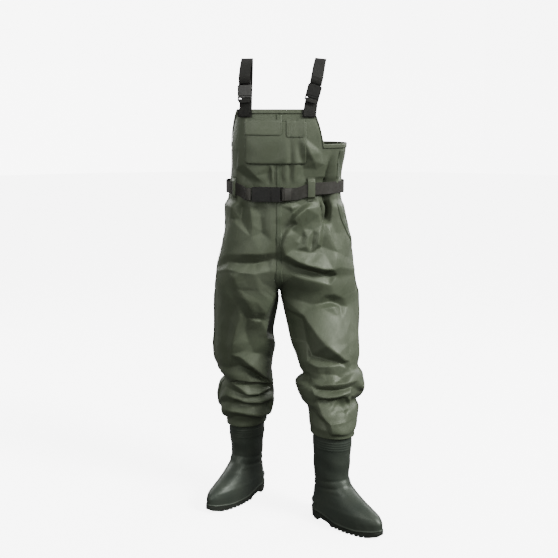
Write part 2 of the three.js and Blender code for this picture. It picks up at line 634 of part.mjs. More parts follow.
for (const [name, strap] of Object.entries(STRAPS)) {
  const foot = frontPoint(strap.foot, BIB_TOP_Z - 3, STRAP_CLEARANCE);
  const beside = frontPoint(strap.foot + 20, BIB_TOP_Z - 3, STRAP_CLEARANCE);
  const before = frontPoint(strap.foot - 20, BIB_TOP_Z - 3, STRAP_CLEARANCE);
  const chord = [beside[0] - before[0], beside[1] - before[1], 0];
  const origin = [strap.buckle[0], foot[1] + 5, strap.buckle[1]];
  const frame = buckleFrame(origin, [strap.lean, 0.16, 1], [chord[1] / 2, -chord[0], 0]);
  const outer = strap.half.side < 0 ? 0 : 1;
  const latches = [name + "_latch_outer", name + "_latch_inner"];
  addBuckle(name + "_strap", outer === 0 ? latches : latches.reverse(), frame, STRAP_BUCKLE);

  // The short webbing from the bib to the insert.
  const tab = [
    frontPoint(strap.foot, BIB_TOP_Z - 26, STRAP_CLEARANCE),
    frontPoint(strap.foot, BIB_TOP_Z - 14, STRAP_CLEARANCE),
    foot,
    ...roundInsertBar(frame, -STRAP_BUCKLE.base + 1.75, 5.7),
  ];
  const frameX = axisOf(frame, 0);
  const tabAcross = tab.map((_, i) => (i < 3 ? chord : frameX));
  addMesh(name + "_strap_tab", ribbon(tab, WEBBING_WIDTH, 1.3, tabAcross), WEBBING_COLOUR, 0.85);

  // The strap: under the socket's bar, up over the shoulder and down to the back.
  const bar = STRAP_BUCKLE.socket + 10.75;
  const back = backPoint(strap.backX, BACK_TOP_Z - 4, STRAP_CLEARANCE);
  const start = along(frame, 0, bar + 16, 6);
  const shoulder = new THREE.CatmullRomCurve3(
    [
      start,
      [mix(start[0], strap.apexX, 0.6), -62, APEX_Z - 20],
      [strap.apexX, -10, APEX_Z],
      [mix(strap.backX, strap.apexX, 0.85), 52, APEX_Z - 26],
      [mix(strap.backX, strap.apexX, 0.45), 92, APEX_Z - 110],
      [mix(strap.backX, strap.apexX, 0.1), back[1] + 2, BACK_TOP_Z + 60],
      back,
      backPoint(strap.backX, BACK_TOP_Z - 26, STRAP_CLEARANCE),
    ].map((p) => new THREE.Vector3(...p)),
  );
  const loop = roundSocketBar(frame, bar);
  const over = shoulder.getPoints(30).map((p) => p.toArray());
  const [low, high] = [-20, 20].map((x) => backPoint(strap.backX + x, BACK_TOP_Z - 4, 0));
  const backAcross = [high[0] - low[0], high[1] - low[1], 0].map((v) => v / 40);
  const level = [1, 0, 0];
  const across = [
    ...loop.map(() => frameX),
    ...steps(0, 11 / 12, 11).map((t) => blend3(frameX, level, t)),
    ...steps(0, 1, 18).map((t) => blend3(level, backAcross, t)),
  ];
  const webbing = ribbon([...loop, ...over], WEBBING_WIDTH, 1.3, across);
  addMesh(name + "_shoulder_strap", webbing, WEBBING_COLOUR, 0.85);

  // Stitched patches under the ends of the webbing.
  for (const [place, point, x, top] of [
    ["_front_anchor", frontPoint, strap.foot, BIB_TOP_Z - 3],
    ["_back_anchor", backPoint, strap.backX, BACK_TOP_Z - 3],
  ]) {
    const rows = steps(top - PATCH.height, top, 2).map((z) =>
      steps(x - PATCH.width / 2, x + PATCH.width / 2, 3).map((px) => (out) => point(px, z, out)),
    );
    addMesh(name + place, layer(rows, ANCHOR_CLEARANCE, ANCHOR), WEBBING_COLOUR, 0.85);
  }
}

// ---------------------------------------------------------------- belt
const BELT_BUCKLE = { width: 48, socket: 62, base: 42, thickness: 11, slot: 41.5 };
const BELT_Z = 1168;
const BUCKLE = { x: -27, z: 1151, slope: -0.1 };
const BELT_CLEARANCE = 5;
const LOOP = { width: 13, reach: 33, thickness: 1.4 };
const TAIL_END_X = 62;

// Plan outline of the body at belt height, as the belt spans it: a convex loop.
function beltLoop(out) {
  const points = [];
  for (const half of [RIGHT, LEFT])
    for (const z of [BUCKLE.z - 22, BELT_Z, BELT_Z + 22])
      for (const angle of steps(0, 360, 60)) {
        const [, cx, , a] = rowAt(half.sections, z);
        const [x, y] = skin(half, z, angle, out);
        if (cx < a && half.side * x > -1) points.push([x, y]);
      }
  points.sort((p, q) => p[0] - q[0] || p[1] - q[1]);
  const turn = (o, p, q) => (p[0] - o[0]) * (q[1] - o[1]) - (p[1] - o[1]) * (q[0] - o[0]);
  const chain = (list) =>
    list.reduce((kept, p) => {
      while (kept.length > 1 && turn(kept.at(-2), kept.at(-1), p) <= 0) kept.pop();
      return [...kept, p];
    }, []);
  const lower = chain(points);
  const upper = chain(points.slice().reverse());
  return [...lower.slice(0, -1), ...upper.slice(0, -1)];
}

// The loop runs from the front of the wearer's right hip round the back to the middle of the front.
const outline = beltLoop(BELT_CLEARANCE);
const tangentAt = (i) => {
  const [p, q] = [outline.at(i - 1), outline.at((i + 1) % outline.length)];
  return [q[0] - p[0], q[1] - p[1]];
};
const beltZ = (x, y) => (y > -40 ? BELT_Z : mix(BUCKLE.z, BELT_Z, smooth((Math.abs(x + 20) - 70) / 70)));
// The place on the loop nearest to x, at the front or the back, `out` beyond it.
function beltAt(x, front, out) {
  const candidates = outline.map((p, i) => i).filter((i) => (outline[i][1] < 0) === front);
  const sorted = candidates.sort((i, j) => Math.abs(outline[i][0] - x) - Math.abs(outline[j][0] - x));
  const [i, j] = sorted.slice(0, 2);
  const t = (x - outline[i][0]) / (outline[j][0] - outline[i][0] || 1);
  const [tx, ty] = tangentAt(i);
  const length = Math.hypot(tx, ty);
  const y = mix(outline[i][1], outline[j][1], t);
  return { point: [x + (ty / length) * out, y - (tx / length) * out], tangent: [tx / length, ty / length] };
}

const buckleY = beltAt(BUCKLE.x, true, 0).point[1] - WEBBING - 1.2 - BELT_BUCKLE.thickness / 2;
const beltFrame = buckleFrame([BUCKLE.x, buckleY, BUCKLE.z], [-1, -BUCKLE.slope, 0], [BUCKLE.slope, -1, 0]);
addBuckle("belt", ["belt_latch_bottom", "belt_latch_top"], beltFrame, BELT_BUCKLE);

const first = outline.findIndex(([x, y]) => y < 0 && x > -136);
const lastFront = outline.findIndex(([x, y]) => y < 0 && x > 30);
const count = outline.length;
const indices = steps(first, lastFront - count, first - lastFront + count);
const roundWaist = indices.map((i) => outline[(i + count) % count]);
const beltPath = [
  ...roundSocketBar(beltFrame, BELT_BUCKLE.socket + 10.75),
  ...roundWaist.map(([x, y]) => [x, y, beltZ(x, y)]),
  ...[14, -8].map((x) => [...beltAt(x, true, 0).point, BUCKLE.z]),
];
addMesh("waist_belt", ribbon(beltPath, BELT_WIDTH, WEBBING * 0.8, [0, 0, 1]), WEBBING_COLOUR, 0.85);

// The free end of the belt comes back over it from the insert.
const tailPath = [
  ...roundInsertBar(beltFrame, -BELT_BUCKLE.base + 1.75, 6.2),
  ...[40, 51, TAIL_END_X].map((x) => [...beltAt(x, true, WEBBING + 3).point, beltZ(x, -130)]),
];
addMesh("belt_tail", ribbon(tailPath, BELT_WIDTH, 1.3, [0, 0, 1]), TAIL_COLOUR, 0.85);

const LOOPS = [
  ["right_front_belt_loop", -148, true],
  ["left_front_belt_loop", 107, true],
  ["right_back_belt_loop", -90, false],
  ["left_back_belt_loop", 92, false],
];
for (const [name, x, front] of LOOPS) {
  const { tangent } = beltAt(x, front, 0);
  const z = beltZ(x, front ? -130 : 110);
  const pad = (dz) => (front ? frontPoint : backPoint)(x, z + dz, LIFT + 0.4);
  const clear = (dz) => [...beltAt(x, front, WEBBING + 1.4).point, z + dz];
  const path = [
    pad(-LOOP.reach - 6), pad(-LOOP.reach), clear(-LOOP.reach + 8), clear(LOOP.reach - 8), pad(LOOP.reach),
    pad(LOOP.reach + 6),
  ];
  addMesh(name, ribbon(path, LOOP.width, LOOP.thickness, [...tangent, 0]), FABRIC_COLOUR, 0.45);
}

export default waders;
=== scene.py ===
"""Chest waders: the visual model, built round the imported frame. Metres, in the frame of the CAD."""

import json
import math

import bmesh
import bpy
import numpy as np
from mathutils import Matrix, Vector
from mathutils.bvhtree import BVHTree
from mathutils.geometry import delaunay_2d_cdt

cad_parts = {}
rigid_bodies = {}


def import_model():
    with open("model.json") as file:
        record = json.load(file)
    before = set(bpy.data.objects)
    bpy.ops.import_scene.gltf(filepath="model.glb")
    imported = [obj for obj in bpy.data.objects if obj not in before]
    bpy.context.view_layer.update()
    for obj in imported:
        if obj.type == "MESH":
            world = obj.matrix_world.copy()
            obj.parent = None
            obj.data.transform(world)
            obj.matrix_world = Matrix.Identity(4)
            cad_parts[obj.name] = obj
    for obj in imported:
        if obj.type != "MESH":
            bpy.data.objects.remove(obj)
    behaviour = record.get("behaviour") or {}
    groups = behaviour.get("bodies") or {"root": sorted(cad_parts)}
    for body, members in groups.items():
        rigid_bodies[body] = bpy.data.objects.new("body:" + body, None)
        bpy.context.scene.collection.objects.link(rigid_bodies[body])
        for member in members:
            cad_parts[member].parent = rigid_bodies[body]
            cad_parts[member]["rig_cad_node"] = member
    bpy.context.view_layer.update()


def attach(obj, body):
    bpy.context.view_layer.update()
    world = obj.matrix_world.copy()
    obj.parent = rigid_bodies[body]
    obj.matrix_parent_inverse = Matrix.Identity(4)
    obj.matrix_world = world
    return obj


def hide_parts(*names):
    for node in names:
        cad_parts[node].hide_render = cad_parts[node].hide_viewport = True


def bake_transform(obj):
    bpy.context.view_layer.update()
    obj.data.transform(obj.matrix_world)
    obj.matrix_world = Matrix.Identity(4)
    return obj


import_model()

# ------------------------------------------------------------------ places and sizes
# The waders were drawn about the wearer's middle; this moves them to the frame of the CAD.
SHIFT = np.array([-0.0455, 0.0738, 0.0])
EYE = np.array([0.0, -3.1, 1.47])  # camera, in the drawing's own place
EYE_TILT = 11.54  # degrees down
LENS = 57.9  # mm
AIM = (0, 0, 0.8)  # where the lamps point

CROTCH_Z = 0.800
BIB_TOP_Z = 1.430
BACK_TOP_Z = 1.314  # the back and sides end lower than the bib
SPLIT_Z = 1.200  # above this the rows of the cloth slope towards its top edge
BOOT_TOP_Z = 0.345
BELT_Z = 1.155

# Sections of each half of the body, in mm: z, centre x, centre y, half width, front and back depth.
RIGHT_SECTIONS = [
    (286, 122, 76, 66, 74, 74),
    (318, 123, 73, 80, 84, 86),
    (345, 122, 70, 90, 90, 92),
    (372, 121, 67, 97, 88, 90),
    (402, 118, 63, 99, 94, 96),
    (436, 120, 59, 97, 92, 94),
    (468, 114, 55, 88, 86, 88),
    (505, 125, 50, 97, 98, 98),
    (545, 127, 45, 104, 104, 100),
    (590, 123, 38, 108, 104, 100),
    (640, 125, 30, 104, 102, 102),
    (700, 119, 18, 107, 106, 106),
    (760, 113, 4, 111, 110, 112),
    (800, 113, -5, 113.4, 112, 118),
    (832, 98, -7, 126, 116, 124),
    (870, 72, -8, 149, 121, 128),
    (930, 36, -9, 172, 126, 130),
    (1000, 10, -10, 183, 126, 128),
    (1070, 0, -10, 182, 122, 122),
    (1150, 0, -10, 172, 117, 114),
    (1200, 0, -10, 166, 119, 116),
    (1314, 0, -10, 160, 124, 116),
    (1430, 0, -10, 152, 112, 112),
]
LEFT_SECTIONS = [
    (322, 186, -140, 68, 76, 76),
    (352, 187, -133, 80, 86, 88),
    (384, 186, -122, 81, 84, 88),
    (410, 185, -116, 84, 88, 92),
    (436, 171, -110, 91, 88, 96),
    (464, 177, -103, 110, 98, 106),
    (494, 176, -95, 118, 102, 108),
    (520, 186, -87, 101, 96, 98),
    (546, 172, -78, 99, 100, 96),
    (574, 169, -68, 105, 104, 98),
    (622, 162, -52, 118, 106, 102),
    (678, 155, -35, 124, 108, 106),
    (736, 147, -18, 130, 110, 112),
    (800, 135, -5, 135.4, 112, 118),
    (832, 118, -7, 151, 117, 124),
    (870, 85, -8, 179, 122, 128),
    (930, 44, -9, 212, 127, 130),
    (1000, 14, -10, 230, 127, 128),
    (1070, 0, -10, 226, 122, 122),
    (1150, 0, -10, 213, 117, 114),
    (1200, 0, -10, 217, 119, 116),
    (1314, 0, -10, 228, 124, 116),
    (1430, 0, -10, 205, 112, 112),
]
# The loose cloth at the wearer's left side is pinched in at the belt: z and depth, in mm.
VALLEY = [
    (960, 0), (1030, 10), (1090, 26), (1150, 36), (1205, 36), (1245, 24), (1280, 8), (1314, 4), (1430, 0),
]
VALLEY_ANGLE = 139.0  # degrees round the left half, from the middle
VALLEY_SPREAD = 7.5


class Half:
    """One side of the waders: side is -1 for the wearer's right, 1 for the left.

    seam: angle of the side seam at the waist. armhole: the angles between which the top edge falls
    from the bib to the back. Angles are in degrees, 0 in the middle plane and 90 at the front.
    """

    def __init__(self, name, side, sections, seam, armhole, boot_axis, boot_turn):
        table = np.array(sections, float) / 1000
        self.name, self.side = name, side
        self.z, self.rows = table[:, 0], table[:, 1:]
        self.seam, self.armhole = seam, armhole
        self.boot_axis, self.boot_turn = np.array(boot_axis), boot_turn
        self.hem = self.z[0]


RIGHT = Half("right", -1, RIGHT_SECTIONS, 180, (146, 178), (-0.120, 0.076), 36)
LEFT = Half("left", 1, LEFT_SECTIONS, 153, (112, 122), (0.186, -0.140), 45)
HALVES = (RIGHT, LEFT)


def smooth(t):
    """0 below 0, 1 above 1, and an even S between."""
    t = np.clip(t, 0, 1)
    return t * t * (3 - 2 * t)


def mix(a, b, t):
    return a + (b - a) * t


def monotone(x, xs, ys):
    """Smooth interpolation through a table that never swings past its points."""
    h = np.diff(xs)
    d = np.diff(ys) / h
    m = np.zeros_like(ys)
    same = d[1:] * d[:-1] > 0
    w1, w2 = 2 * h[1:] + h[:-1], h[1:] + 2 * h[:-1]
    safe = np.where(same, d[1:] * d[:-1], 1)
    m[1:-1] = np.where(same, (w1 + w2) * safe / np.where(same, w1 * d[1:] + w2 * d[:-1], 1), 0)
    m[0], m[-1] = d[0], d[-1]
    x = np.clip(x, xs[0], xs[-1])
    i = np.clip(np.searchsorted(xs, x) - 1, 0, len(xs) - 2)
    t = (x - xs[i]) / h[i]
    return (
        ys[i] * (1 + 2 * t) * (1 - t) ** 2
        + h[i] * m[i] * t * (1 - t) ** 2
        + ys[i + 1] * t * t * (3 - 2 * t)
        + h[i] * m[i + 1] * t * t * (t - 1)
    )


def sections(half, z):
    """Centre x and y, half width, front depth and back depth at height z."""
    return [monotone(z, half.z, half.rows[:, k]) for k in range(5)]


def roundness(z):
    """Power of the outline: 2 is an ellipse, and more is squarer, as at the bib."""
    return 2.1 + 0.4 * smooth((z - 0.76) / 0.2) + 0.7 * smooth((z - 1.18) / 0.2)


def inner_angle(half, z):
    """Angle at which a half section meets the middle plane, or 0 on a leg."""
    cx, _, a, _, _ = sections(half, z)
    ratio = np.clip(cx / a, 0, 1) ** (roundness(z) / 2)
    return np.where(z <= CROTCH_Z, 0.0, np.degrees(np.arccos(ratio)))


def seam_angle(half, z):
    """Angle of the side seam: half way round on the leg, and the half's own angle from the waist up."""
    return mix(180.0, half.seam, smooth((z - 0.9) / 0.2))


def top_edge(half, angle):
    """Height of the top edge, which arches a little over the bib."""
    start, end = half.armhole
    fall = smooth((angle - start) / (end - start))
    arch = 0.003 + 0.009 * np.cos(np.radians(np.clip(angle, 40, 90))) ** 0.8
    return mix(BIB_TOP_Z - arch, BACK_TOP_Z, fall)


def skin(half, z, angle):
    """Points on the outside of the body, in the drawing's place. z and angle are arrays."""
    cx, cy, a, front, back = sections(half, z)
    power = 2 / roundness(z)
    cos, sin = np.cos(np.radians(angle)), np.sin(np.radians(angle))
    b = np.where(sin >= 0, front, back)
    x = cx - a * np.sign(cos) * np.abs(cos) ** power
    y = cy - b * np.sign(sin) * np.abs(sin) ** power
    if half is LEFT:
        table = np.array(VALLEY, float) / 1000
        depth = monotone(z, table[:, 0], table[:, 1])
        depth = depth * np.exp(-(((angle - VALLEY_ANGLE) / VALLEY_SPREAD) ** 2))
        length = np.hypot(x, y - cy)
        x, y = x - x / length * depth, y - (y - cy) / length * depth
    to_boot = 1 - smooth((z - half.hem - 0.004) / 0.034)
    bx, by = abs(half.boot_axis[0]), half.boot_axis[1]
    dx, dy = x - bx, y - by
    turn = math.radians(half.boot_turn)
    forward = (dx * math.sin(turn) - dy * math.cos(turn)) / np.hypot(dx, dy)
    sideways = (dx * math.cos(turn) + dy * math.sin(turn)) / np.hypot(dx, dy)
    reach = 1 / np.hypot(forward / 0.075, sideways / 0.062) + 0.0072
    x = mix(x, bx + dx / np.hypot(dx, dy) * reach, to_boot)
    y = mix(y, by + dy / np.hypot(dx, dy) * reach, to_boot)
    return np.stack([half.side * x, y, z], axis=-1)


def seen(p):
    """Where the camera sees a point, put on the upright plane through the wearer's middle."""
    scale = -EYE[1] / (p[..., 1] - EYE[1])
    return np.stack([p[..., 0] * scale, EYE[2] + (p[..., 2] - EYE[2]) * scale], axis=-1)


# ------------------------------------------------------------------ camera, lights, floor
def make_stage():
    camera = bpy.data.objects.new("camera", bpy.data.cameras.new("camera"))
    camera.data.lens = LENS
    camera.data.sensor_width = 36
    camera.location = Vector(EYE + SHIFT)
    camera.rotation_euler = (math.radians(90 - EYE_TILT), 0, 0)
    bpy.context.collection.objects.link(camera)
    bpy.context.scene.camera = camera

    for name, place, size, power in [
        ("key", (2.9, -1.3, 2.7), 1.4, 110),
        ("fill", (-1.5, -3.5, 2.4), 2.0, 85),
        ("rim_left", (-2.4, 1.9, 2.3), 1.6, 60),
        ("rim_right", (2.4, 1.8, 2.2), 1.6, 60),
    ]:
        lamp = bpy.data.lights.new(name, "AREA")
        lamp.shape = "DISK"
        lamp.size = size
        lamp.energy = power
        add_lamp(lamp, place)
    sun = bpy.data.lights.new("sun", "SUN")
    sun.energy = 4.5
    sun.angle = math.radians(16)
    add_lamp(sun, (3.2, -2.1, 3.7))

    world = bpy.data.worlds.new("world")
    world.use_nodes = True
    sky = world.node_tree.nodes["Background"]
    sky.inputs[0].default_value = (1, 1, 1, 1)
    # The sky is brighter overhead than below, as in a studio with a dark floor.
    nodes, links = world.node_tree.nodes, world.node_tree.links
    direction = nodes.new("ShaderNodeTexCoord")
    parts = nodes.new("ShaderNodeSeparateXYZ")
    height = nodes.new("ShaderNodeMapRange")
    height.inputs["From Min"].default_value = -0.5
    height.inputs["From Max"].default_value = 0.6
    height.inputs["To Min"].default_value = 0.12
    height.inputs["To Max"].default_value = 0.70
    links.new(direction.outputs["Generated"], parts.inputs[0])
    links.new(parts.outputs["Z"], height.inputs["Value"])
    links.new(height.outputs["Result"], sky.inputs[1])
    bpy.context.scene.world = world

    bpy.ops.mesh.primitive_plane_add(size=30, location=(0, 0, -0.0005))
    floor = bpy.context.object
    floor.name = "floor"
    floor.data.materials.append(glowing_material("floor", 0.93, 0.9, 5.5))

    # A white backdrop all round. The camera sees it and the floor, and neither lights anything.
    bpy.ops.mesh.primitive_uv_sphere_add(segments=48, ring_count=24, radius=14.9, location=(0, 0, 0))
    backdrop = bpy.context.object
    backdrop.name = "backdrop"
    backdrop.data.materials.append(glowing_material("backdrop", 1.0, 1.0, 6.8))
    for kind in ("diffuse", "glossy", "transmission", "shadow"):
        setattr(backdrop, "visible_" + kind, False)
        setattr(floor, "visible_" + kind, False)


def add_lamp(lamp, place):
    holder = bpy.data.objects.new(lamp.name, lamp)
    holder.location = place
    ray = Vector(AIM) - Vector(place)
    holder.rotation_euler = ray.to_track_quat("-Z", "Y").to_euler()
    bpy.context.collection.objects.link(holder)


def glowing_material(name, grey, roughness, strength):
    material = bpy.data.materials.new(name)
    material.use_nodes = True
    shader = material.node_tree.nodes["Principled BSDF"]
    shader.inputs["Base Color"].default_value = (grey, grey, grey, 1)
    shader.inputs["Roughness"].default_value = roughness
    shader.inputs["Emission Color"].default_value = (1, 1, 1, 1)
    shader.inputs["Emission Strength"].default_value = strength
    return material


# ------------------------------------------------------------------ mesh helpers
def new_object(name, points, faces, material):
    """A smooth mesh object, from points in the drawing's own place."""
    mesh = bpy.data.meshes.new(name)
    mesh.from_pydata((np.asarray(points, float) + SHIFT).tolist(), [], faces)
    mesh.update()
    mesh.polygons.foreach_set("use_smooth", [True] * len(mesh.polygons))
    mesh.materials.append(material)
    obj = bpy.data.objects.new(name, mesh)
    bpy.context.collection.objects.link(obj)
    return obj


# ------------------------------------------------------------------ materials
SPECULAR = 0.28
HIGHLIGHT_TINT = 0.55  # how far highlights lean to the colour of the surface


def textured(name, dark, light, roughness, spots, grain):
    """A material whose colour and roughness drift over the surface.

    dark, light: the two colours it drifts between. roughness: lowest and highest. spots: size of
    the drift in metres. grain: list of (kind, size, height), in metres, for the bump.
    """
    material = bpy.data.materials.new(name)
    material.use_nodes = True
    nodes, links = material.node_tree.nodes, material.node_tree.links
    shader = nodes["Principled BSDF"]
    shader.inputs["Specular IOR Level"].default_value = SPECULAR
    tint = [mix(1.0, part / max(light), HIGHLIGHT_TINT) for part in light]
    shader.inputs["Specular Tint"].default_value = (*tint, 1)
    place = nodes.new("ShaderNodeTexCoord").outputs["Object"]

    drift = nodes.new("ShaderNodeTexNoise")
    drift.inputs["Scale"].default_value = 1 / spots
    drift.inputs["Detail"].default_value = 5
    links.new(place, drift.inputs["Vector"])
    ramp = nodes.new("ShaderNodeValToRGB")
    ramp.color_ramp.elements[0].position = 0.35
    ramp.color_ramp.elements[0].color = (*dark, 1)
    ramp.color_ramp.elements[1].position = 0.65
    ramp.color_ramp.elements[1].color = (*light, 1)
    links.new(drift.outputs["Fac"], ramp.inputs["Fac"])
    links.new(ramp.outputs["Color"], shader.inputs["Base Color"])

    scuffs = nodes.new("ShaderNodeTexNoise")
    scuffs.inputs["Scale"].default_value = 3.1 / spots
    scuffs.inputs["Detail"].default_value = 6
    links.new(place, scuffs.inputs["Vector"])
    span = nodes.new("ShaderNodeMapRange")
    span.inputs["From Min"].default_value = 0.3
    span.inputs["From Max"].default_value = 0.7
    span.inputs["To Min"].default_value = roughness[0]
    span.inputs["To Max"].default_value = roughness[1]
    links.new(scuffs.outputs["Fac"], span.inputs["Value"])
    links.new(span.outputs["Result"], shader.inputs["Roughness"])

    normal = None
    for kind, size, height in grain:
        field = grain_field(nodes, links, place, kind, size)
        bump = nodes.new("ShaderNodeBump")
        bump.inputs["Strength"].default_value = 1.0
        bump.inputs["Distance"].default_value = height
        links.new(field, bump.inputs["Height"])
        if normal:
            links.new(normal, bump.inputs["Normal"])
        normal = bump.outputs["Normal"]
    links.new(normal, shader.inputs["Normal"])
    return material


def grain_field(nodes, links, place, kind, size):
    """A height field: weave (threads both ways), ribs, cross_ribs, crinkle or noise."""
    if kind in ("noise", "crinkle"):
        texture = nodes.new("ShaderNodeTexNoise" if kind == "noise" else "ShaderNodeTexVoronoi")
        texture.inputs["Scale"].default_value = 1 / size
        if kind == "noise":
            texture.inputs["Detail"].default_value = 4
        else:
            texture.feature = "SMOOTH_F1"
        links.new(place, texture.inputs["Vector"])
        return texture.outputs["Fac" if kind == "noise" else "Distance"]
    waves = []
    for direction in {"weave": ("X", "Z"), "ribs": ("Z",), "cross_ribs": ("X", "Y")}[kind]:
        wave = nodes.new("ShaderNodeTexWave")
        wave.wave_type = "BANDS"
        wave.bands_direction = direction
        wave.inputs["Scale"].default_value = 0.314 / size
        wave.inputs["Distortion"].default_value = 0.4
        links.new(place, wave.inputs["Vector"])
        waves.append(wave.outputs["Fac"])
    if len(waves) == 1:
        return waves[0]
    both = nodes.new("ShaderNodeMath")
    both.operation = "MULTIPLY"
    links.new(waves[0], both.inputs[0])
    links.new(waves[1], both.inputs[1])
    return both.outputs[0]


def make_materials():
    weave = ("weave", 0.0009, 0.00008)
    cloth_grain = [("crinkle", 0.030, 0.0003), ("noise", 0.010, 0.00012), weave]
    flap_grain = [("noise", 0.012, 0.0004), weave]
    tape_grain = [("noise", 0.006, 0.0002), weave]
    strap_grain = [("ribs", 0.0021, 0.0003), ("cross_ribs", 0.0016, 0.0001)]
    belt_grain = [("cross_ribs", 0.0021, 0.0003), ("ribs", 0.0016, 0.0001)]
    boot_grain = [("noise", 0.02, 0.0010), ("noise", 0.0016, 0.00008)]
    # key: name, dark and light colour, lowest and highest roughness, size of the drift, grain
    looks = {
        "fabric": ("coated_cloth", (0.043, 0.052, 0.033), (0.053, 0.062, 0.042),
                   (0.42, 0.54), 0.11, cloth_grain),
        "flap": ("flap_cloth", (0.047, 0.056, 0.036), (0.055, 0.064, 0.044),
                 (0.40, 0.52), 0.06, flap_grain),
        "tape": ("welded_tape", (0.038, 0.047, 0.030), (0.047, 0.056, 0.037),
                 (0.40, 0.52), 0.05, tape_grain),
        "thread": ("thread", (0.014, 0.018, 0.011), (0.020, 0.024, 0.016),
                   (0.6, 0.75), 0.02, [("noise", 0.001, 0.0001)]),
        "strap": ("strap_webbing", (0.0045, 0.0046, 0.0040), (0.0070, 0.0070, 0.0062),
                  (0.7, 0.85), 0.03, strap_grain),
        "belt": ("belt_webbing", (0.013, 0.0125, 0.0105), (0.018, 0.0175, 0.015),
                 (0.62, 0.8), 0.03, belt_grain),
        "tail": ("belt_end_webbing", (0.014, 0.0135, 0.0115), (0.019, 0.0185, 0.016),
                 (0.62, 0.78), 0.03, belt_grain),
        "plastic": ("buckle_plastic", (0.0035, 0.0035, 0.0034), (0.0055, 0.0055, 0.0050),
                    (0.34, 0.46), 0.02, [("noise", 0.0012, 0.00004)]),
        "boot": ("boot_rubber", (0.019, 0.024, 0.019), (0.026, 0.031, 0.024),
                 (0.38, 0.5), 0.07, boot_grain),
        "sole": ("sole_rubber", (0.009, 0.010, 0.008), (0.014, 0.016, 0.013),
                 (0.6, 0.8), 0.03, [("noise", 0.002, 0.00015)]),
        "foam": ("insole_foam", (0.05, 0.052, 0.048), (0.10, 0.10, 0.09),
                 (0.8, 0.95), 0.004, [("noise", 0.002, 0.0002)]),
    }
    return {key: textured(*look) for key, look in looks.items()}


make_stage()


# ------------------------------------------------------------------ folds of the cloth
# Lines along which the cloth is raised or sunk, as the camera sees them on the upright plane through
# the wearer's middle: x, z and height, in mm. The cloth runs flat from line to line.
BIB_FOLDS = [
    [(-112, 1400, 0), (-130, 1360, 2), (-136, 1290, 3), (-140, 1232, 2)],
    [(-148, 1222, -2), (-120, 1195, -8), (-93, 1172, -8)],
    [(-118, 1238, 3), (-82, 1202, 4), (-60, 1178, 3)],
    [(-31, 1238, 0), (-31, 1210, -4), (-32, 1178, -4)],
    [(-23, 1240, 0), (-23, 1210, 5), (-24, 1178, 5)],
    [(-16, 1238, 0), (-16, 1206, -3), (-16, 1178, -3)],
    [(-9, 1236, 0), (-9, 1204, 6), (-9, 1178, 5)],
    [(0, 1234, -1), (0, 1204, -3), (1, 1178, -4)],
    [(24, 1328, 1), (27, 1262, 4), (22, 1180, 3)],
    [(36, 1328, -1), (40, 1262, -4), (36, 1180, -3)],
    [(50, 1326, 1), (57, 1250, 4), (50, 1180, 2)],
    [(68, 1326, -1), (73, 1270, -4), (84, 1225, -5), (90, 1190, -3)],
    [(88, 1330, 1), (96, 1300, 7), (107, 1275, 9), (120, 1250, 7), (128, 1222, 2)],
    [(150, 1280, 1), (152, 1240, 5), (150, 1200, 5)],
    [(192, 1296, 0), (194, 1240, 5), (196, 1196, 4)],
    [(206, 1290, -2), (208, 1240, -4), (210, 1196, -3)],
]
HIP_FOLDS = [
    [(130, 1122, 2), (92, 1088, 14), (64, 1064, 19), (53, 1047, 17), (62, 1033, 9)],
    [(116, 1124, -4), (80, 1096, -3), (46, 1068, 0), (38, 1046, -1), (44, 1030, -3)],
    [(138, 1096, 2), (140, 1062, 1), (150, 1028, 0), (120, 1012, -3), (85, 1016, -2)],
    [(148, 1142, -14), (160, 1102, -20), (166, 1062, -14), (163, 1030, -4)],
    [(180, 1142, 6), (182, 1092, 9), (178, 1040, 6), (176, 1000, 2)],
    [(43, 1014, 5), (25, 990, 13), (15, 955, 15), (18, 932, 11)],
    [(30, 1020, -3), (10, 990, 0), (0, 955, -1), (2, 930, -2)],
    [(64, 1000, -1), (54, 972, 1), (48, 948, 1)],
    [(80, 988, -7), (74, 962, -3)],
    [(100, 984, 4), (96, 956, 5)],
    [(120, 992, -6), (116, 958, -7)],
    [(140, 1000, 3), (136, 962, 6)],
    [(156, 992, -5), (153, 952, -8)],
    [(22, 926, 9), (60, 905, 15), (110, 887, 19), (150, 876, 19), (186, 872, 12), (212, 880, 5)],
    [(60, 942, 0), (110, 930, -3), (160, 926, -2), (205, 932, 0)],
    [(6, 902, -7), (50, 882, -10), (110, 862, -14), (162, 850, -13), (186, 845, -8), (206, 850, 0)],
    [(50, 850, 2), (120, 832, 5), (180, 816, 5)],
    [(-180, 926, 2), (-120, 926, 6), (-60, 926, 5), (-25, 932, 3)],
    [(-178, 900, -4), (-130, 890, -11), (-85, 889, -13), (-45, 897, -11), (-20, 908, -6)],
    [(-184, 872, 2), (-130, 862, 6), (-80, 858, 7), (-30, 868, 4)],
    [(-178, 862, 0), (-160, 844, 6), (-146, 824, 3)],
    [(-142, 1138, 2), (-155, 1092, 9), (-166, 1050, 5)],
    [(-126, 1136, -4), (-132, 1090, -7), (-134, 1046, -3)],
    [(-106, 1124, 2), (-96, 1080, 6), (-90, 1030, 5), (-96, 985, 2)],
    [(-76, 1112, -3), (-66, 1060, -4), (-60, 1000, -3)],
    [(-30, 1110, 2), (-28, 1040, 4), (-26, 970, 3)],
    [(22, 1122, 1), (34, 1104, 8), (44, 1088, 6), (40, 1078, 1)],
]
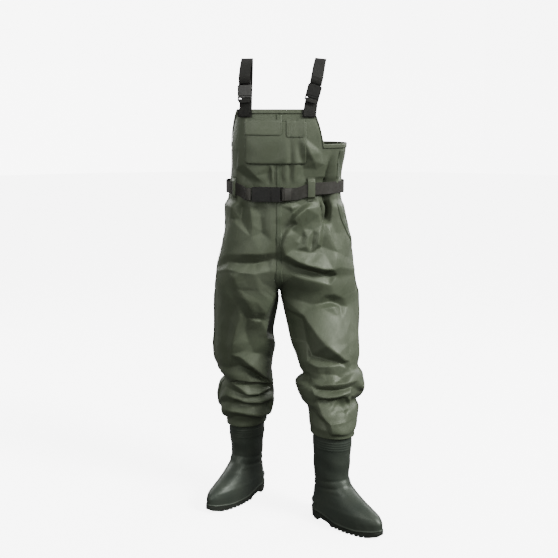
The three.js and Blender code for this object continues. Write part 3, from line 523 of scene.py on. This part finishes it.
THIGH_FOLDS = [
    [(-58, 822, 2), (-72, 798, 6), (-82, 760, 9), (-80, 722, 7), (-68, 692, 3)],
    [(-12, 806, 4), (-36, 762, 15), (-54, 722, 16), (-66, 690, 11), (-54, 655, 12), (-46, 620, 9)],
    [(-6, 782, -3), (-12, 742, -6), (-26, 692, -8), (-40, 645, -8)],
    [(-112, 690, -5), (-120, 645, -6), (-108, 604, -3)],
    [(-150, 800, 1), (-124, 768, 6), (-104, 738, 7), (-98, 712, 3)],
    [(-168, 780, -3), (-146, 742, -4), (-128, 716, -3)],
    [(-138, 704, 3), (-152, 660, 7), (-164, 604, 7), (-170, 560, 4)],
    [(-176, 690, -3), (-184, 640, -4), (-192, 590, -2)],
    [(-136, 552, 7), (-100, 522, 14), (-56, 486, 16), (-50, 481, 10)],
    [(-120, 575, -1), (-90, 566, -3), (-58, 562, -3), (-30, 548, 1)],
    [(-184, 508, -4), (-140, 516, -9), (-84, 484, -12), (-52, 466, -9)],
    [(160, 778, 2), (195, 782, 4), (230, 766, 2)],
    [(120, 742, -3), (164, 750, -9), (190, 753, -14), (222, 742, -9), (244, 736, -2)],
    [(88, 708, 8), (104, 684, 13), (132, 644, 19), (170, 592, 25), (204, 560, 23), (231, 537, 15)],
    [(120, 722, 4), (155, 730, 3), (193, 736, 3), (222, 690, 3), (249, 645, 2), (246, 600, 5), (243, 562, 7)],
    [
        (84, 690, -2), (90, 650, -7), (94, 605, -10), (112, 556, -12), (160, 544, -10), (205, 534, -5),
        (226, 526, 0),
    ],
    [(102, 534, 2), (140, 516, 7), (185, 517, 7), (216, 522, 4)],
    [(236, 550, 11), (246, 537, 9), (256, 524, 4)],
    [(108, 496, -2), (150, 486, 1), (205, 484, -1), (226, 470, -4)],
    [(244, 508, 4), (264, 490, 8), (276, 470, 8)],
]
CALF_FOLDS = [
    [(112, 446, -4), (148, 428, -11), (205, 422, -13), (245, 430, -11), (268, 442, -6)],
    [(118, 462, 3), (150, 442, 8), (195, 445, 12), (240, 452, 13), (276, 462, 9)],
    [(130, 412, 2), (165, 404, 9), (210, 411, 13), (256, 424, 8)],
    [(140, 388, -4), (160, 384, -11), (186, 378, -11), (214, 386, -7), (240, 396, -4)],
    [(172, 396, 5), (205, 399, 6), (228, 404, 3)],
    [(246, 404, 5), (256, 392, 5)],
    [(262, 398, -4), (266, 384, -5)],
    [(148, 366, 5), (166, 336, 13), (188, 304, 13), (233, 311, 10)],
    [(190, 362, 2), (202, 345, -3), (240, 348, -4), (256, 362, 2)],
    [(124, 372, -1), (128, 340, -3), (148, 312, -6), (164, 300, -5)],
    [(-194, 492, 4), (-150, 477, 9), (-100, 464, 9), (-32, 457, 6)],
    [(-150, 462, -6), (-100, 450, -11), (-34, 446, -9)],
    [(-174, 462, 4), (-138, 440, 9), (-110, 420, 13), (-76, 420, 13), (-34, 438, 7)],
    [(-196, 440, -5), (-150, 416, -7), (-112, 404, -9), (-60, 410, -11), (-30, 424, -8)],
    [(-190, 410, 4), (-120, 388, 8), (-70, 390, 9), (-32, 402, 7)],
    [(-196, 382, -5), (-130, 368, -9), (-80, 370, -9), (-40, 380, -7)],
    [(-188, 356, 6), (-130, 346, 9), (-70, 340, 11), (-38, 354, 9)],
    [(-166, 326, -3), (-120, 320, -5), (-72, 316, -5), (-52, 322, -3)],
]


def fold_height(places, folds, margin=0.09):
    """Height at each (x, z) place of the faceted surface that the fold lines hold up, in metres.

    The surface is level at 0 on a box round the lines, with that margin.
    """
    points, heights, edges = [], [], []
    for line in folds:
        for k, (x, z, h) in enumerate(line):
            if k:
                edges.append((len(points) - 1, len(points)))
            points.append(Vector((x / 1000, z / 1000)))
            heights.append(h / 1000)
    low = np.array(points).min(axis=0) - margin
    high = np.array(points).max(axis=0) + margin
    for t in np.linspace(0, 1, 9):
        for corner in [(t, 0), (t, 1), (0, t), (1, t)]:
            points.append(Vector((mix(low[0], high[0], corner[0]), mix(low[1], high[1], corner[1]))))
            heights.append(0.0)
    out_points, _, out_faces, origins, _, _ = delaunay_2d_cdt(points, edges, [], 0, 1e-6)
    level = np.array([heights[o[0]] if o else np.nan for o in origins])
    corners = np.array([(p.x, p.y) for p in out_points])
    known = ~np.isnan(level)
    for i in np.flatnonzero(~known):
        near = np.argsort(np.hypot(*(corners[known] - corners[i]).T))[:2]
        level[i] = level[known][near].mean()
    surface = [(p.x, p.y, level[i]) for i, p in enumerate(out_points)]
    tree = BVHTree.FromPolygons(surface, out_faces)
    down = Vector((0, 0, -1))
    hits = (tree.ray_cast(Vector((x, z, 1)), down)[0] for x, z in places)
    return np.array([hit.z if hit else 0.0 for hit in hits])


def crumple(u, v, spacing, height, seed):
    """Random facets over a (u, v) surface in metres: one raised or sunk point to a cell."""
    random = np.random.default_rng(seed)
    du, dv = spacing
    span_u, span_v = u.max() - u.min() + 2 * du, v.max() - v.min() + 2 * dv
    nu, nv = int(span_u / du) + 2, int(span_v / dv) + 2
    cells = []
    stray = 0.32
    for i in range(nu):
        for j in range(nv):
            x = u.min() - du + (i + 0.5 * (j % 2) + random.uniform(-stray, stray)) * du
            y = v.min() - dv + (j + random.uniform(-stray, stray)) * dv
            sign = 1 if random.random() < 0.5 else -1
            cells.append([(x * 1000, y * 1000, sign * height * 1000 * random.uniform(0.35, 1.0))])
    return fold_height(np.stack([u.ravel(), v.ravel()], axis=-1), cells, 0.02).reshape(u.shape)


def blur(field, times):
    """Softens a field over the grid."""
    for _ in range(times):
        padded = np.pad(field, 1, mode="edge")
        field = (
            4 * field + padded[:-2, 1:-1] + padded[2:, 1:-1] + padded[1:-1, :-2] + padded[1:-1, 2:]
        ) / 8
    return field


# ------------------------------------------------------------------ garment surface
ROWS = 380  # up the body
COLUMNS = 201  # round each half, from the middle of the front to the middle of the back
SEAM_COLUMN = COLUMNS // 2
CLOTH = 0.0014  # thickness
HEM_HEIGHT = 0.014
TAPE_WIDTH = 0.016
FRONT_TAPE_WIDTH = 0.018
TAPE_LIFT = 0.0019  # outside of a tape, off the outside of the cloth
FRONT_TAPE_LIFT = 0.0013
HEM_LIFT = 0.0024
TAPE_THICKNESS = 0.0012
EDGE_GAP = 0.004  # a seam tape starts this far above the hem of the leg


def column_angles(half, z, u):
    """Angle of each column: u is 0 at the middle of the front, 0.5 at the side seam, 1 at the back."""
    inner, seam = inner_angle(half, z), seam_angle(half, z)
    return np.where(u <= 0.5, mix(inner, seam, u * 2), mix(seam, 360 - inner, u * 2 - 1))


def top_of(half, angle):
    return np.where(angle <= half.seam, top_edge(half, angle), BACK_TOP_Z)


class Cloth:
    """The folded surface of one half, as a grid of points with their normals."""

    def __init__(self, half):
        self.half = half
        low_rows = int(ROWS * (SPLIT_Z - half.hem) / (BIB_TOP_Z - half.hem))
        low = np.linspace(half.hem, SPLIT_Z, low_rows)
        u = np.linspace(0, 1, COLUMNS)
        z = np.zeros((ROWS, COLUMNS))
        z[:low_rows] = low[:, None]
        at_split = column_angles(half, np.full(COLUMNS, SPLIT_Z), u)
        top = np.where(u <= 0.5, top_edge(half, at_split), BACK_TOP_Z)
        t = np.linspace(0, 1, ROWS - low_rows + 1)[1:]
        z[low_rows:] = SPLIT_Z + t[:, None] * (top - SPLIT_Z)[None, :]
        angle = np.stack([column_angles(half, row, u) for row in z])
        base = skin(half, z, angle)
        # The leg sections meet in a step at the crotch, which is evened out there.
        near_crotch = np.exp(-(((z - CROTCH_Z) / 0.07) ** 2))[..., None]
        eased_rows = base.copy()
        for _ in range(60):
            eased_rows[1:-1] = (eased_rows[:-2] + 2 * eased_rows[1:-1] + eased_rows[2:]) / 4
        self.points = folded(half, z, angle, mix(base, eased_rows, near_crotch), u)
        self.normals = grid_normals(self.points, half.side)

    def at(self, row, column, lift=0.0):
        """Points at fractional rows and columns, lifted off the cloth."""
        row = np.clip(row, 0, ROWS - 1)
        column = np.clip(column, 0, COLUMNS - 1)
        i = np.minimum(row.astype(int), ROWS - 2)
        j = np.minimum(column.astype(int), COLUMNS - 2)
        s, t = (row - i)[..., None], (column - j)[..., None]
        total = 0
        for grid, factor in ((self.points, 1.0), (self.normals, lift)):
            low = mix(grid[i, j], grid[i, j + 1], t)
            high = mix(grid[i + 1, j], grid[i + 1, j + 1], t)
            total = total + factor * mix(low, high, s)
        return total

    def rows_of(self, column, low, high):
        """The rows whose height at that column lies between low and high."""
        z = self.points[:, column, 2]
        return np.flatnonzero((z >= low) & (z <= high))


def grid_normals(points, side):
    """Unit normals of a grid of points, facing out of the body."""
    across = np.gradient(points, axis=1)
    up = np.gradient(points, axis=0)
    normals = np.cross(up, across) * -side
    normals = normals / np.maximum(np.linalg.norm(normals, axis=-1, keepdims=True), 1e-9)
    if (normals[..., 1] * (points[..., 1] + 0.01)).mean() < 0:
        normals = -normals
    return normals


def under_belt(z):
    """1 where the belt lies on the cloth, 0 away from it."""
    return smooth(1 - (np.abs(z - BELT_Z) - 0.026) / 0.028)


def folded(half, z, angle, points, u):
    """The points moved out and in to make the folds.

    The fold lines shape what faces the camera, and random facets the rest.
    """
    normals = grid_normals(points, half.side)
    above = (z > CROTCH_Z) & ((u == 0) | (u == 1))[None, :]
    normals[..., 0] = np.where(above, 0, normals[..., 0])
    places = seen(points).reshape(-1, 2)
    main = fold_height(places, BIB_FOLDS + HIP_FOLDS + THIGH_FOLDS + CALF_FOLDS).reshape(z.shape)
    toward = smooth((-normals[..., 1] + 0.05) / 0.4)
    arc = np.cumsum(np.linalg.norm(np.diff(points, axis=1, prepend=points[:, :1]), axis=-1), axis=1)
    seed = 11 if half is RIGHT else 23
    body = crumple(arc, z, (0.085, 0.12), 0.010, seed)
    calf = crumple(arc, z + 0.12 * (arc - 0.3), (0.11, 0.03), 0.013, seed + 1)
    fine = crumple(arc, z, (0.035, 0.05), 0.0022, seed + 2)
    low = 1 - smooth((z - 0.47) / 0.07)
    chest = smooth((z - 1.12) / 0.08)
    loose = mix(body, calf, low) * (1 - 0.6 * chest)
    middle = smooth(np.minimum(u, 1 - u) / 0.07)[None, :]
    strength = mix(1.35, 1.25, 1 - smooth((z - 0.50) / 0.06))
    height = blur(main * strength, 2) * toward + blur(loose, 1) * mix(1.0, 0.15, toward) * middle
    height = height + fine * middle * (1 - 0.7 * chest)
    height = mix(height, np.minimum(height * 0.3, 0.0), under_belt(z))
    height = height * smooth((z - half.hem - 0.006) / 0.022)
    edge = smooth((top_of(half, angle) - z - 0.012) / 0.05)
    height = height * mix(0.3, 1, edge)
    sag = -0.45 * np.maximum(height, 0) * low
    moved = points + normals * height[..., None]
    moved[..., 2] += sag  # the bunched folds of the calf hang over
    return moved


def grid_faces(rows, columns, closed=False):
    """Four-sided faces between the points of a grid, closed: also from the last column to the first."""
    faces = []
    for i in range(rows - 1):
        for j in range(columns - (0 if closed else 1)):
            k = (j + 1) % columns
            faces.append((i * columns + j, i * columns + k, (i + 1) * columns + k, (i + 1) * columns + j))
    return faces


def facing(obj, outward):
    """Turns a sheet's faces so that they look along outward, on average."""
    normals = np.array([p.normal for p in obj.data.polygons])
    if (normals * outward).sum() < 0:
        obj.data.flip_normals()


def thicken(obj, thickness):
    """Gives a sheet its thickness, inwards."""
    modifier = obj.modifiers.new("thickness", "SOLIDIFY")
    modifier.thickness = thickness
    modifier.offset = -1.0


def sheet_object(name, points, normals, material, thickness, body, replaced):
    """A grid of points as a thin sheet that rides a body and stands for a CAD node."""
    rows, columns = points.shape[:2]
    obj = new_object(name, points.reshape(-1, 3), grid_faces(rows, columns), material)
    faces = np.array([p.vertices[:] for p in obj.data.polygons])
    facing(obj, normals.reshape(-1, 3)[faces].mean(axis=1))
    thicken(obj, thickness)
    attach(obj, body)
    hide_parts(replaced)
    return obj


CLOTHS = {half.name: Cloth(half) for half in HALVES}
MATERIALS = make_materials()

# Each half's cloth, as a front panel and a back panel.
for half in HALVES:
    cloth = CLOTHS[half.name]
    for face, columns in (("front", slice(0, SEAM_COLUMN + 1)), ("back", slice(SEAM_COLUMN, COLUMNS))):
        panel = sheet_object(
            half.name + "_" + face + "_cloth", cloth.points[:, columns], cloth.normals[:, columns],
            MATERIALS["fabric"], CLOTH, "wader_body", half.name + "_" + face + "_panel",
        )


# ------------------------------------------------------------------ seams and hems
def strip(name, lines, normals, material, replaced, thickness=TAPE_THICKNESS):
    """A strip from several lines of points side by side."""
    return sheet_object(name, np.stack(lines, axis=1), np.stack(normals, axis=1), material, thickness,
                        "wader_body", replaced)


def side_tape(half):
    """A welded tape up the side seam."""
    cloth = CLOTHS[half.name]
    rows = cloth.rows_of(SEAM_COLUMN, half.hem + EDGE_GAP, BACK_TOP_Z - 0.022)
    before, here = cloth.points[rows, SEAM_COLUMN - 1], cloth.points[rows, SEAM_COLUMN]
    reach = TAPE_WIDTH / 2 / np.maximum(np.linalg.norm(before - here, axis=-1), 1e-4)
    lines, normals = [], []
    for share in (-1, -0.5, 0, 0.5, 1):
        column = SEAM_COLUMN + reach * share
        line = cloth.at(rows.astype(float), column, TAPE_LIFT)
        normal = cloth.at(rows, column, 1.0) - cloth.at(rows, column)
        # The tape sinks a little where the belt presses on it.
        lines.append(line - normal * 0.004 * under_belt(line[..., 2:3]))
        normals.append(normal)
    strip(half.name + "_side_tape", lines, normals, MATERIALS["tape"], half.name + "_side_seam")


def middle_tape(low, high):
    """The tape up the middle of the front, from the wearer's right half to the left one."""
    lines, normals = [], []
    for side, order in (("right", (1, 0.5)), ("left", (0.5, 1))):
        cloth = CLOTHS[side]
        first, last = cloth.rows_of(0, low, high)[[0, -1]]
        rows = np.linspace(first, last, 150)
        steps = np.linalg.norm(cloth.points[:, 1] - cloth.points[:, 0], axis=-1)
        for share in order:
            column = share * FRONT_TAPE_WIDTH / 2 / np.interp(rows, np.arange(ROWS), steps)
            lines.append(cloth.at(rows, column, FRONT_TAPE_LIFT))
            normals.append(lines[-1] - cloth.at(rows, column))
    strip("centre_front_tape", lines, normals, MATERIALS["tape"], "centre_front_seam")


def inseam_tape(half):
    """The tape up the inside of the leg, over the line where the front panel meets the back one."""
    cloth = CLOTHS[half.name]
    rows = cloth.rows_of(0, half.hem + EDGE_GAP, CROTCH_Z - 0.02)
    reach = TAPE_WIDTH / 2 / np.linalg.norm(cloth.points[rows, 1] - cloth.points[rows, 0], axis=-1)
    lines, normals = [], []
    for share in (-1, -0.5, 0, 0.5, 1):
        column = reach * share if share >= 0 else COLUMNS - 1 + reach * share
        lines.append(cloth.at(rows, column, TAPE_LIFT))
        normals.append(lines[-1] - cloth.at(rows, column))
    strip(half.name + "_inseam_tape", lines, normals, MATERIALS["tape"], half.name + "_inseam")


for half in HALVES:
    side_tape(half)
middle_tape(CROTCH_Z + 0.012, BIB_TOP_Z - 0.018)
for half in HALVES:
    inseam_tape(half)


def hem_lines(cloth, columns, lift):
    """Lines of points up the outside of the cloth to its top edge, one to a column."""
    result = []
    for column in columns:
        z = cloth.points[:, int(round(column)), 2]
        rows = np.interp(z[-1] - np.linspace(HEM_HEIGHT, 0, 6), z, np.arange(ROWS))
        result.append(cloth.at(rows, np.full(6, float(column)), lift))
    return result


def hem(name, replaced, columns):
    """The binding along the top edge, from the wearer's right to the left."""
    lines, normals = [], []
    for side in ("right", "left"):
        cloth = CLOTHS[side]
        ordered = columns[::-1] if side == "right" else columns
        lifted = hem_lines(cloth, ordered, HEM_LIFT)
        flat = hem_lines(cloth, ordered, 0.0)
        lines += lifted
        normals += [a - b for a, b in zip(lifted, flat)]
    strip(name, lines, normals, MATERIALS["flap"], replaced, CLOTH)


hem("bib_binding", "bib_hem", np.arange(0, SEAM_COLUMN + 1, 1.0))
hem("back_binding", "back_hem", np.arange(COLUMNS - 1, SEAM_COLUMN - 1, -1.0))


# ------------------------------------------------------------------ pocket and flaps
def tree_of(*clothes):
    """A tree for finding the outside of the cloth along a ray."""
    vertices, faces = [], []
    for cloth in clothes:
        start = len(vertices)
        vertices += [tuple(p) for p in cloth.points.reshape(-1, 3)]
        faces += [tuple(start + i for i in face) for face in grid_faces(ROWS, COLUMNS)]
    return BVHTree.FromPolygons(vertices, faces)


TREE = tree_of(*CLOTHS.values())


def on_cloth(x, z):
    """The point of the cloth seen from the front at (x, z), and its normal, turned to the front."""
    for dx in (0, 0.003, -0.003, 0.006):
        hit, normal, _, _ = TREE.ray_cast(Vector((x + dx, -1, z)), Vector((0, 1, 0)))
        if hit is not None:
            break
    if normal.y > 0:
        normal = -normal
    normal = np.array(normal) * [0.5, 1, 0.5]
    return np.array((x, hit.y, z)), normal / np.linalg.norm(normal)


def patch(x, z, lift, columns, rows, corner):
    """A grid of points lying on the cloth, with its lower corners rounded off."""
    points = np.zeros((rows, columns, 3))
    normals = np.zeros((rows, columns, 3))
    middle, half_width = (x[0] + x[1]) / 2, (x[1] - x[0]) / 2
    for i, pz in enumerate(np.linspace(z[0], z[1], rows)):
        gap = max(0.0, corner - (pz - z[0]))
        inset = corner - math.sqrt(max(corner**2 - gap**2, 0))
        for j, share in enumerate(np.linspace(-1, 1, columns)):
            place, normal = on_cloth(middle + share * (half_width - inset), pz)
            points[i, j], normals[i, j] = place + normal * lift, normal
    return points, normals


def eased(points, times):
    """Evens out the depth of a patch, so that it spans the small hollows of the cloth."""
    for _ in range(times):
        padded = np.pad(points[..., 1], 1, mode="edge")
        around = padded[:-2, 1:-1] + padded[2:, 1:-1] + padded[1:-1, :-2] + padded[1:-1, 2:]
        points[..., 1] = (points[..., 1] * 4 + around) / 8
    return points


STITCH_PITCH = 0.0042
STITCH_LENGTH = 0.0028
STITCH_WIDTH = 0.0007


def stitches(name, lines, body):
    """Short raised threads along lines of points, each a rod with six sides."""
    points, faces = [], []
    for line in lines:
        line = np.asarray(line)
        steps = np.linalg.norm(np.diff(line, axis=0), axis=1)
        total = np.concatenate([[0], np.cumsum(steps)])
        for start in np.arange(STITCH_PITCH, total[-1] - STITCH_PITCH, STITCH_PITCH):
            ends = [
                np.array([np.interp(s, total, line[:, k]) for k in range(3)])
                for s in (start, start + STITCH_LENGTH)
            ]
            along = ends[1] - ends[0]
            along = along / max(np.linalg.norm(along), 1e-9)
            out = np.array([0.0, -1.0 if ends[0][1] < 0 else 1.0, 0.0])
            side = np.cross(along, out)
            side = side / max(np.linalg.norm(side), 1e-9)
            out = np.cross(side, along)
            base = len(points)
            for end in ends:
                for turn in range(6):
                    a = turn * math.pi / 3
                    points.append(end + STITCH_WIDTH / 2 * (math.cos(a) * side + math.sin(a) * out))
            for turn in range(6):
                other = (turn + 1) % 6
                faces.append((base + turn, base + other, base + 6 + other, base + 6 + turn))
            faces.append(tuple(base + turn for turn in range(5, -1, -1)))
            faces.append(tuple(base + 6 + turn for turn in range(6)))
    obj = new_object(name, points, faces, MATERIALS["thread"])
    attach(obj, body)


def border(points, inset, sides):
    """Lines just inside the edges of a patch grid: b bottom, t top, l left, r right."""
    rows, columns = points.shape[:2]
    step_z = np.linalg.norm(points[1, 0] - points[0, 0])
    step_x = np.linalg.norm(points[0, 1] - points[0, 0])
    i, j = inset / step_z, inset / step_x

    def pick(r, c):
        r0, c0 = int(min(max(r, 0), rows - 2)), int(min(max(c, 0), columns - 2))
        s, t = r - r0, c - c0
        low = mix(points[r0, c0], points[r0, c0 + 1], t)
        return mix(low, mix(points[r0 + 1, c0], points[r0 + 1, c0 + 1], t), s)

    across = np.linspace(j, columns - 1 - j, columns)
    up = np.linspace(i, rows - 1 - i, rows)
    lines = {
        "b": [pick(i, c) for c in across], "t": [pick(rows - 1 - i, c) for c in across],
        "l": [pick(r, j) for r in up], "r": [pick(r, columns - 1 - j) for r in up],
    }
    return [lines[s] for s in sides]


points, normals = patch((-0.112, 0.090), (1.249, 1.386), 0.0034, 61, 41, corner=0.010)
points = eased(points, 6)
# The pocket bulges a little inside its sewn edges.
inside = np.ones(points.shape[:2])
inside[0] = inside[:, 0] = inside[:, -1] = 0
points[..., 1] -= 0.0022 * blur(inside, 3)
pocket = sheet_object("pocket_cloth", points, normals, MATERIALS["fabric"], 0.0016, "wader_body",
                      "chest_pocket")
stitches("pocket_stitches", border(points, 0.004, "blr") + border(points, 0.009, "b"), "wader_body")

for name, node, body, x, z in (
    ("large_flap_cloth", "large_pocket_flap", "large_flap_body", (-0.110, 0.009), (1.343, 1.394)),
    ("small_flap_cloth", "small_pocket_flap", "small_flap_body", (0.024, 0.084), (1.337, 1.394)),
):
    points, normals = patch(x, z, 0.0082, 31, 15, corner=0.006)
    points = eased(points, 10)
    points[-2:, :, 1] += 0.0012  # the sewn top lies closer to the bib
    flap = sheet_object(name, points, normals, MATERIALS["flap"], 0.0024, body, node)
    bevel = flap.modifiers.new("edge", "BEVEL")
    bevel.width = 0.0007
    bevel.segments = 2
    stitches(name.replace("cloth", "stitches"), border(points, 0.0035, "btlr"), body)


# ------------------------------------------------------------------ webbing, buckles and loops
def cad_piece(node):
    """The frame's object for a CAD node."""
    return next(obj for obj in bpy.data.objects if obj.get("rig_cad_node") == node)


def detailed(node, body, material, bevel):
    """A copy of a CAD node with its edges eased, which stands for the node."""
    mesh = cad_piece(node).data.copy()
    work = bmesh.new()
    work.from_mesh(mesh)
    bmesh.ops.remove_doubles(work, verts=work.verts, dist=1e-6)
    bmesh.ops.dissolve_limit(work, angle_limit=math.radians(1.0), verts=work.verts, edges=work.edges)
    work.to_mesh(mesh)
    work.free()
    mesh.materials.clear()
    mesh.materials.append(material)
    obj = bpy.data.objects.new(node + "_detail", mesh)
    bpy.context.collection.objects.link(obj)
    modifier = obj.modifiers.new("edges", "BEVEL")
    modifier.width = bevel
    modifier.segments = 2
    modifier.angle_limit = math.radians(35)
    mesh.polygons.foreach_set("use_smooth", [True] * len(mesh.polygons))
    mesh.set_sharp_from_angle(angle=math.radians(40))
    if body:
        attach(obj, body)
    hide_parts(node)
    return obj


def bent_strap(node):
    """The shoulder strap, its eased edges baked into the mesh; it rides no body."""
    obj = detailed(node, None, MATERIALS["strap"], 0.0005)
    final = obj.evaluated_get(bpy.context.evaluated_depsgraph_get())
    obj.data = bpy.data.meshes.new_from_object(final)
    obj.modifiers.clear()
    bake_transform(obj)


def widened(obj, factor):
    """Stretches a loop sideways about its own middle."""
    places = np.array([v.co for v in obj.data.vertices])
    middle = (places[:, 0].min() + places[:, 0].max()) / 2
    places[:, 0] = middle + (places[:, 0] - middle) * factor
    obj.data.vertices.foreach_set("co", places.ravel())


for side in ("right", "left"):
    strap, plastic = side + "_strap_body", MATERIALS["plastic"]
    detailed(side + "_strap_insert", "wader_body", plastic, 0.0009)
    detailed(side + "_strap_socket", strap, plastic, 0.0009)
    for which in ("outer", "inner"):
        latch = side + "_latch_" + which
        detailed(latch, latch + "_body", plastic, 0.0006)
    detailed(side + "_strap_tab", "wader_body", MATERIALS["strap"], 0.0005)
    bent_strap(side + "_shoulder_strap")
    for end in ("front", "back"):
        detailed(f"{side}_{end}_anchor", "wader_body", MATERIALS["strap"], 0.0004)
        detailed(f"{side}_{end}_belt_loop", "wader_body", MATERIALS["flap"], 0.0005)
widened(bpy.data.objects["left_front_belt_loop_detail"], 1.9)
detailed("belt_insert", "belt_insert_body", MATERIALS["plastic"], 0.0010)
detailed("belt_socket", "wader_body", MATERIALS["plastic"], 0.0010)
for which in ("top", "bottom"):
    latch = "belt_latch_" + which
    detailed(latch, latch + "_body", MATERIALS["plastic"], 0.0006)
detailed("waist_belt", "wader_body", MATERIALS["belt"], 0.0006)
detailed("belt_tail", "belt_insert_body", MATERIALS["tail"], 0.0005)


# ------------------------------------------------------------------ boots
# Slices of a boot, in mm: height, reach back, reach forward, half width.
BOOT_SLICES = [
    (-6, 74, 226, 47), (20, 76, 227, 49), (48, 76, 226, 50), (66, 74, 216, 50), (82, 72, 192, 49),
    (100, 70, 154, 49), (122, 69, 108, 50), (146, 68, 76, 52), (180, 69, 64, 55), (230, 72, 68, 58),
    (290, 73, 72, 60), (345, 72, 72, 60),
]
# Top line of the sole, in mm: place along the foot, forward negative, and height.
SOLE_LINE = [(-240, 30), (-205, 22), (-150, 15), (-62, 17), (15, 30), (100, 31)]
BOOT_COLUMNS = 96
BOOT_WALL = 0.0035
BOOT_ROWS = 150


def ridge(z, middle, width):
    """A round ridge, 1 high, along one height."""
    return np.exp(-(((z - middle) / width) ** 2))


def boot_skin(half, z, turn, out=0.0):
    """Points of the boot at height z and direction turn, in the boot's own place."""
    table = np.array(BOOT_SLICES, float) / 1000
    back, front, wide = [monotone(z, table[:, 0], table[:, k]) for k in (1, 2, 3)]
    forward = np.cos(turn)
    reach = np.where(forward > 0, front, back)
    swell = 1 + 0.08 * np.clip((reach - 0.1) / 0.12, 0, 1) * forward
    long = np.maximum(0, front - 0.12) / 0.106
    y = -np.sign(forward) * np.abs(forward) ** mix(1, 0.8, long) * (reach + out)
    x = np.sin(turn) * (wide + out) * swell
    inward = long * 0.009 * np.sin(np.pi * np.clip(-y / 0.2, 0, 1)) * -half.side
    return np.stack([x + inward, y, z + 0 * x], axis=-1)


def boot_detail(half, z, turn):
    """How far the moulded details stand out: bands, front strip, heel ledge, counter and creases."""
    forward = np.cos(turn)
    top = half.hem - 0.008
    bands = 0.0
    for k in range(4):
        bands = bands + 0.0016 * ridge(z, top - 0.012 - 0.0085 * k, 0.0022)
    strip = 0.0012 * smooth((forward - 0.975) / 0.015) * smooth((z - 0.13) / 0.03)
    strip = strip * smooth((top - 0.05 - z) / 0.01)
    heel = 0.0035 * ridge(z, 0.062, 0.007) * smooth((-forward - 0.2) / 0.3)
    counter = 0.0010 * smooth((-forward - 0.25) / 0.1) * (1 - smooth((z - 0.115) / 0.006))
    crease = -0.0022 * ridge(z, 0.128 + 0.012 * forward, 0.006) * smooth((0.95 - forward) / 0.5)
    crease = crease - 0.0016 * ridge(z, 0.155 + 0.010 * forward, 0.006)
    sag = 0.0014 * np.sin(z * 62 + 2.2 * turn) * smooth((z - 0.16) / 0.05) * smooth((0.27 - z) / 0.04)
    return bands + strip + heel + counter + crease + sag


def boot_points(half, z, turn, out):
    """The boot with its details, turned and put under its leg."""
    points = boot_skin(half, z, turn, out + boot_detail(half, z, turn))
    turned = math.radians(half.boot_turn) * half.side
    x = points[..., 0] * math.cos(turned) - points[..., 1] * math.sin(turned)
    y = points[..., 0] * math.sin(turned) + points[..., 1] * math.cos(turned)
    cx, cy = half.boot_axis
    return np.stack([x + cx, y + cy, points[..., 2]], axis=-1)


for half in HALVES:
    turn = np.linspace(0, 2 * math.pi, BOOT_COLUMNS, endpoint=False)
    foot = boot_skin(half, np.full(BOOT_COLUMNS, 0.025), turn)
    line = np.array(SOLE_LINE, float) / 1000
    floor = np.interp(foot[:, 1], line[:, 0], line[:, 1]) - 0.001
    rise = np.linspace(0, 1, BOOT_ROWS) ** 1.15
    z = floor[None, :] + rise[:, None] * (BOOT_TOP_Z - floor)[None, :]
    welt = 0.0026 * ridge(z, floor[None, :] + 0.0045, 0.0022)
    points = boot_points(half, z, np.repeat(turn[None, :], BOOT_ROWS, axis=0), welt)
    name = half.name + "_boot_shell"
    boot = new_object(name, points.reshape(-1, 3), grid_faces(BOOT_ROWS, BOOT_COLUMNS, True),
                      MATERIALS["boot"])
    centre = np.append(half.boot_axis + SHIFT[:2], 0)
    outward = np.array([p.center for p in boot.data.polygons]) - centre
    outward[:, 2] = 0
    facing(boot, outward)
    thicken(boot, BOOT_WALL)
    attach(boot, "wader_body")
    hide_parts(half.name + "_boot_upper")
    detailed(half.name + "_outsole", "wader_body", MATERIALS["sole"], 0.0010)
    for node, key in (("_insole", "foam"), ("_boot_band", "boot")):
        kept = cad_piece(half.name + node)
        kept.data.materials.clear()
        kept.data.materials.append(MATERIALS[key])
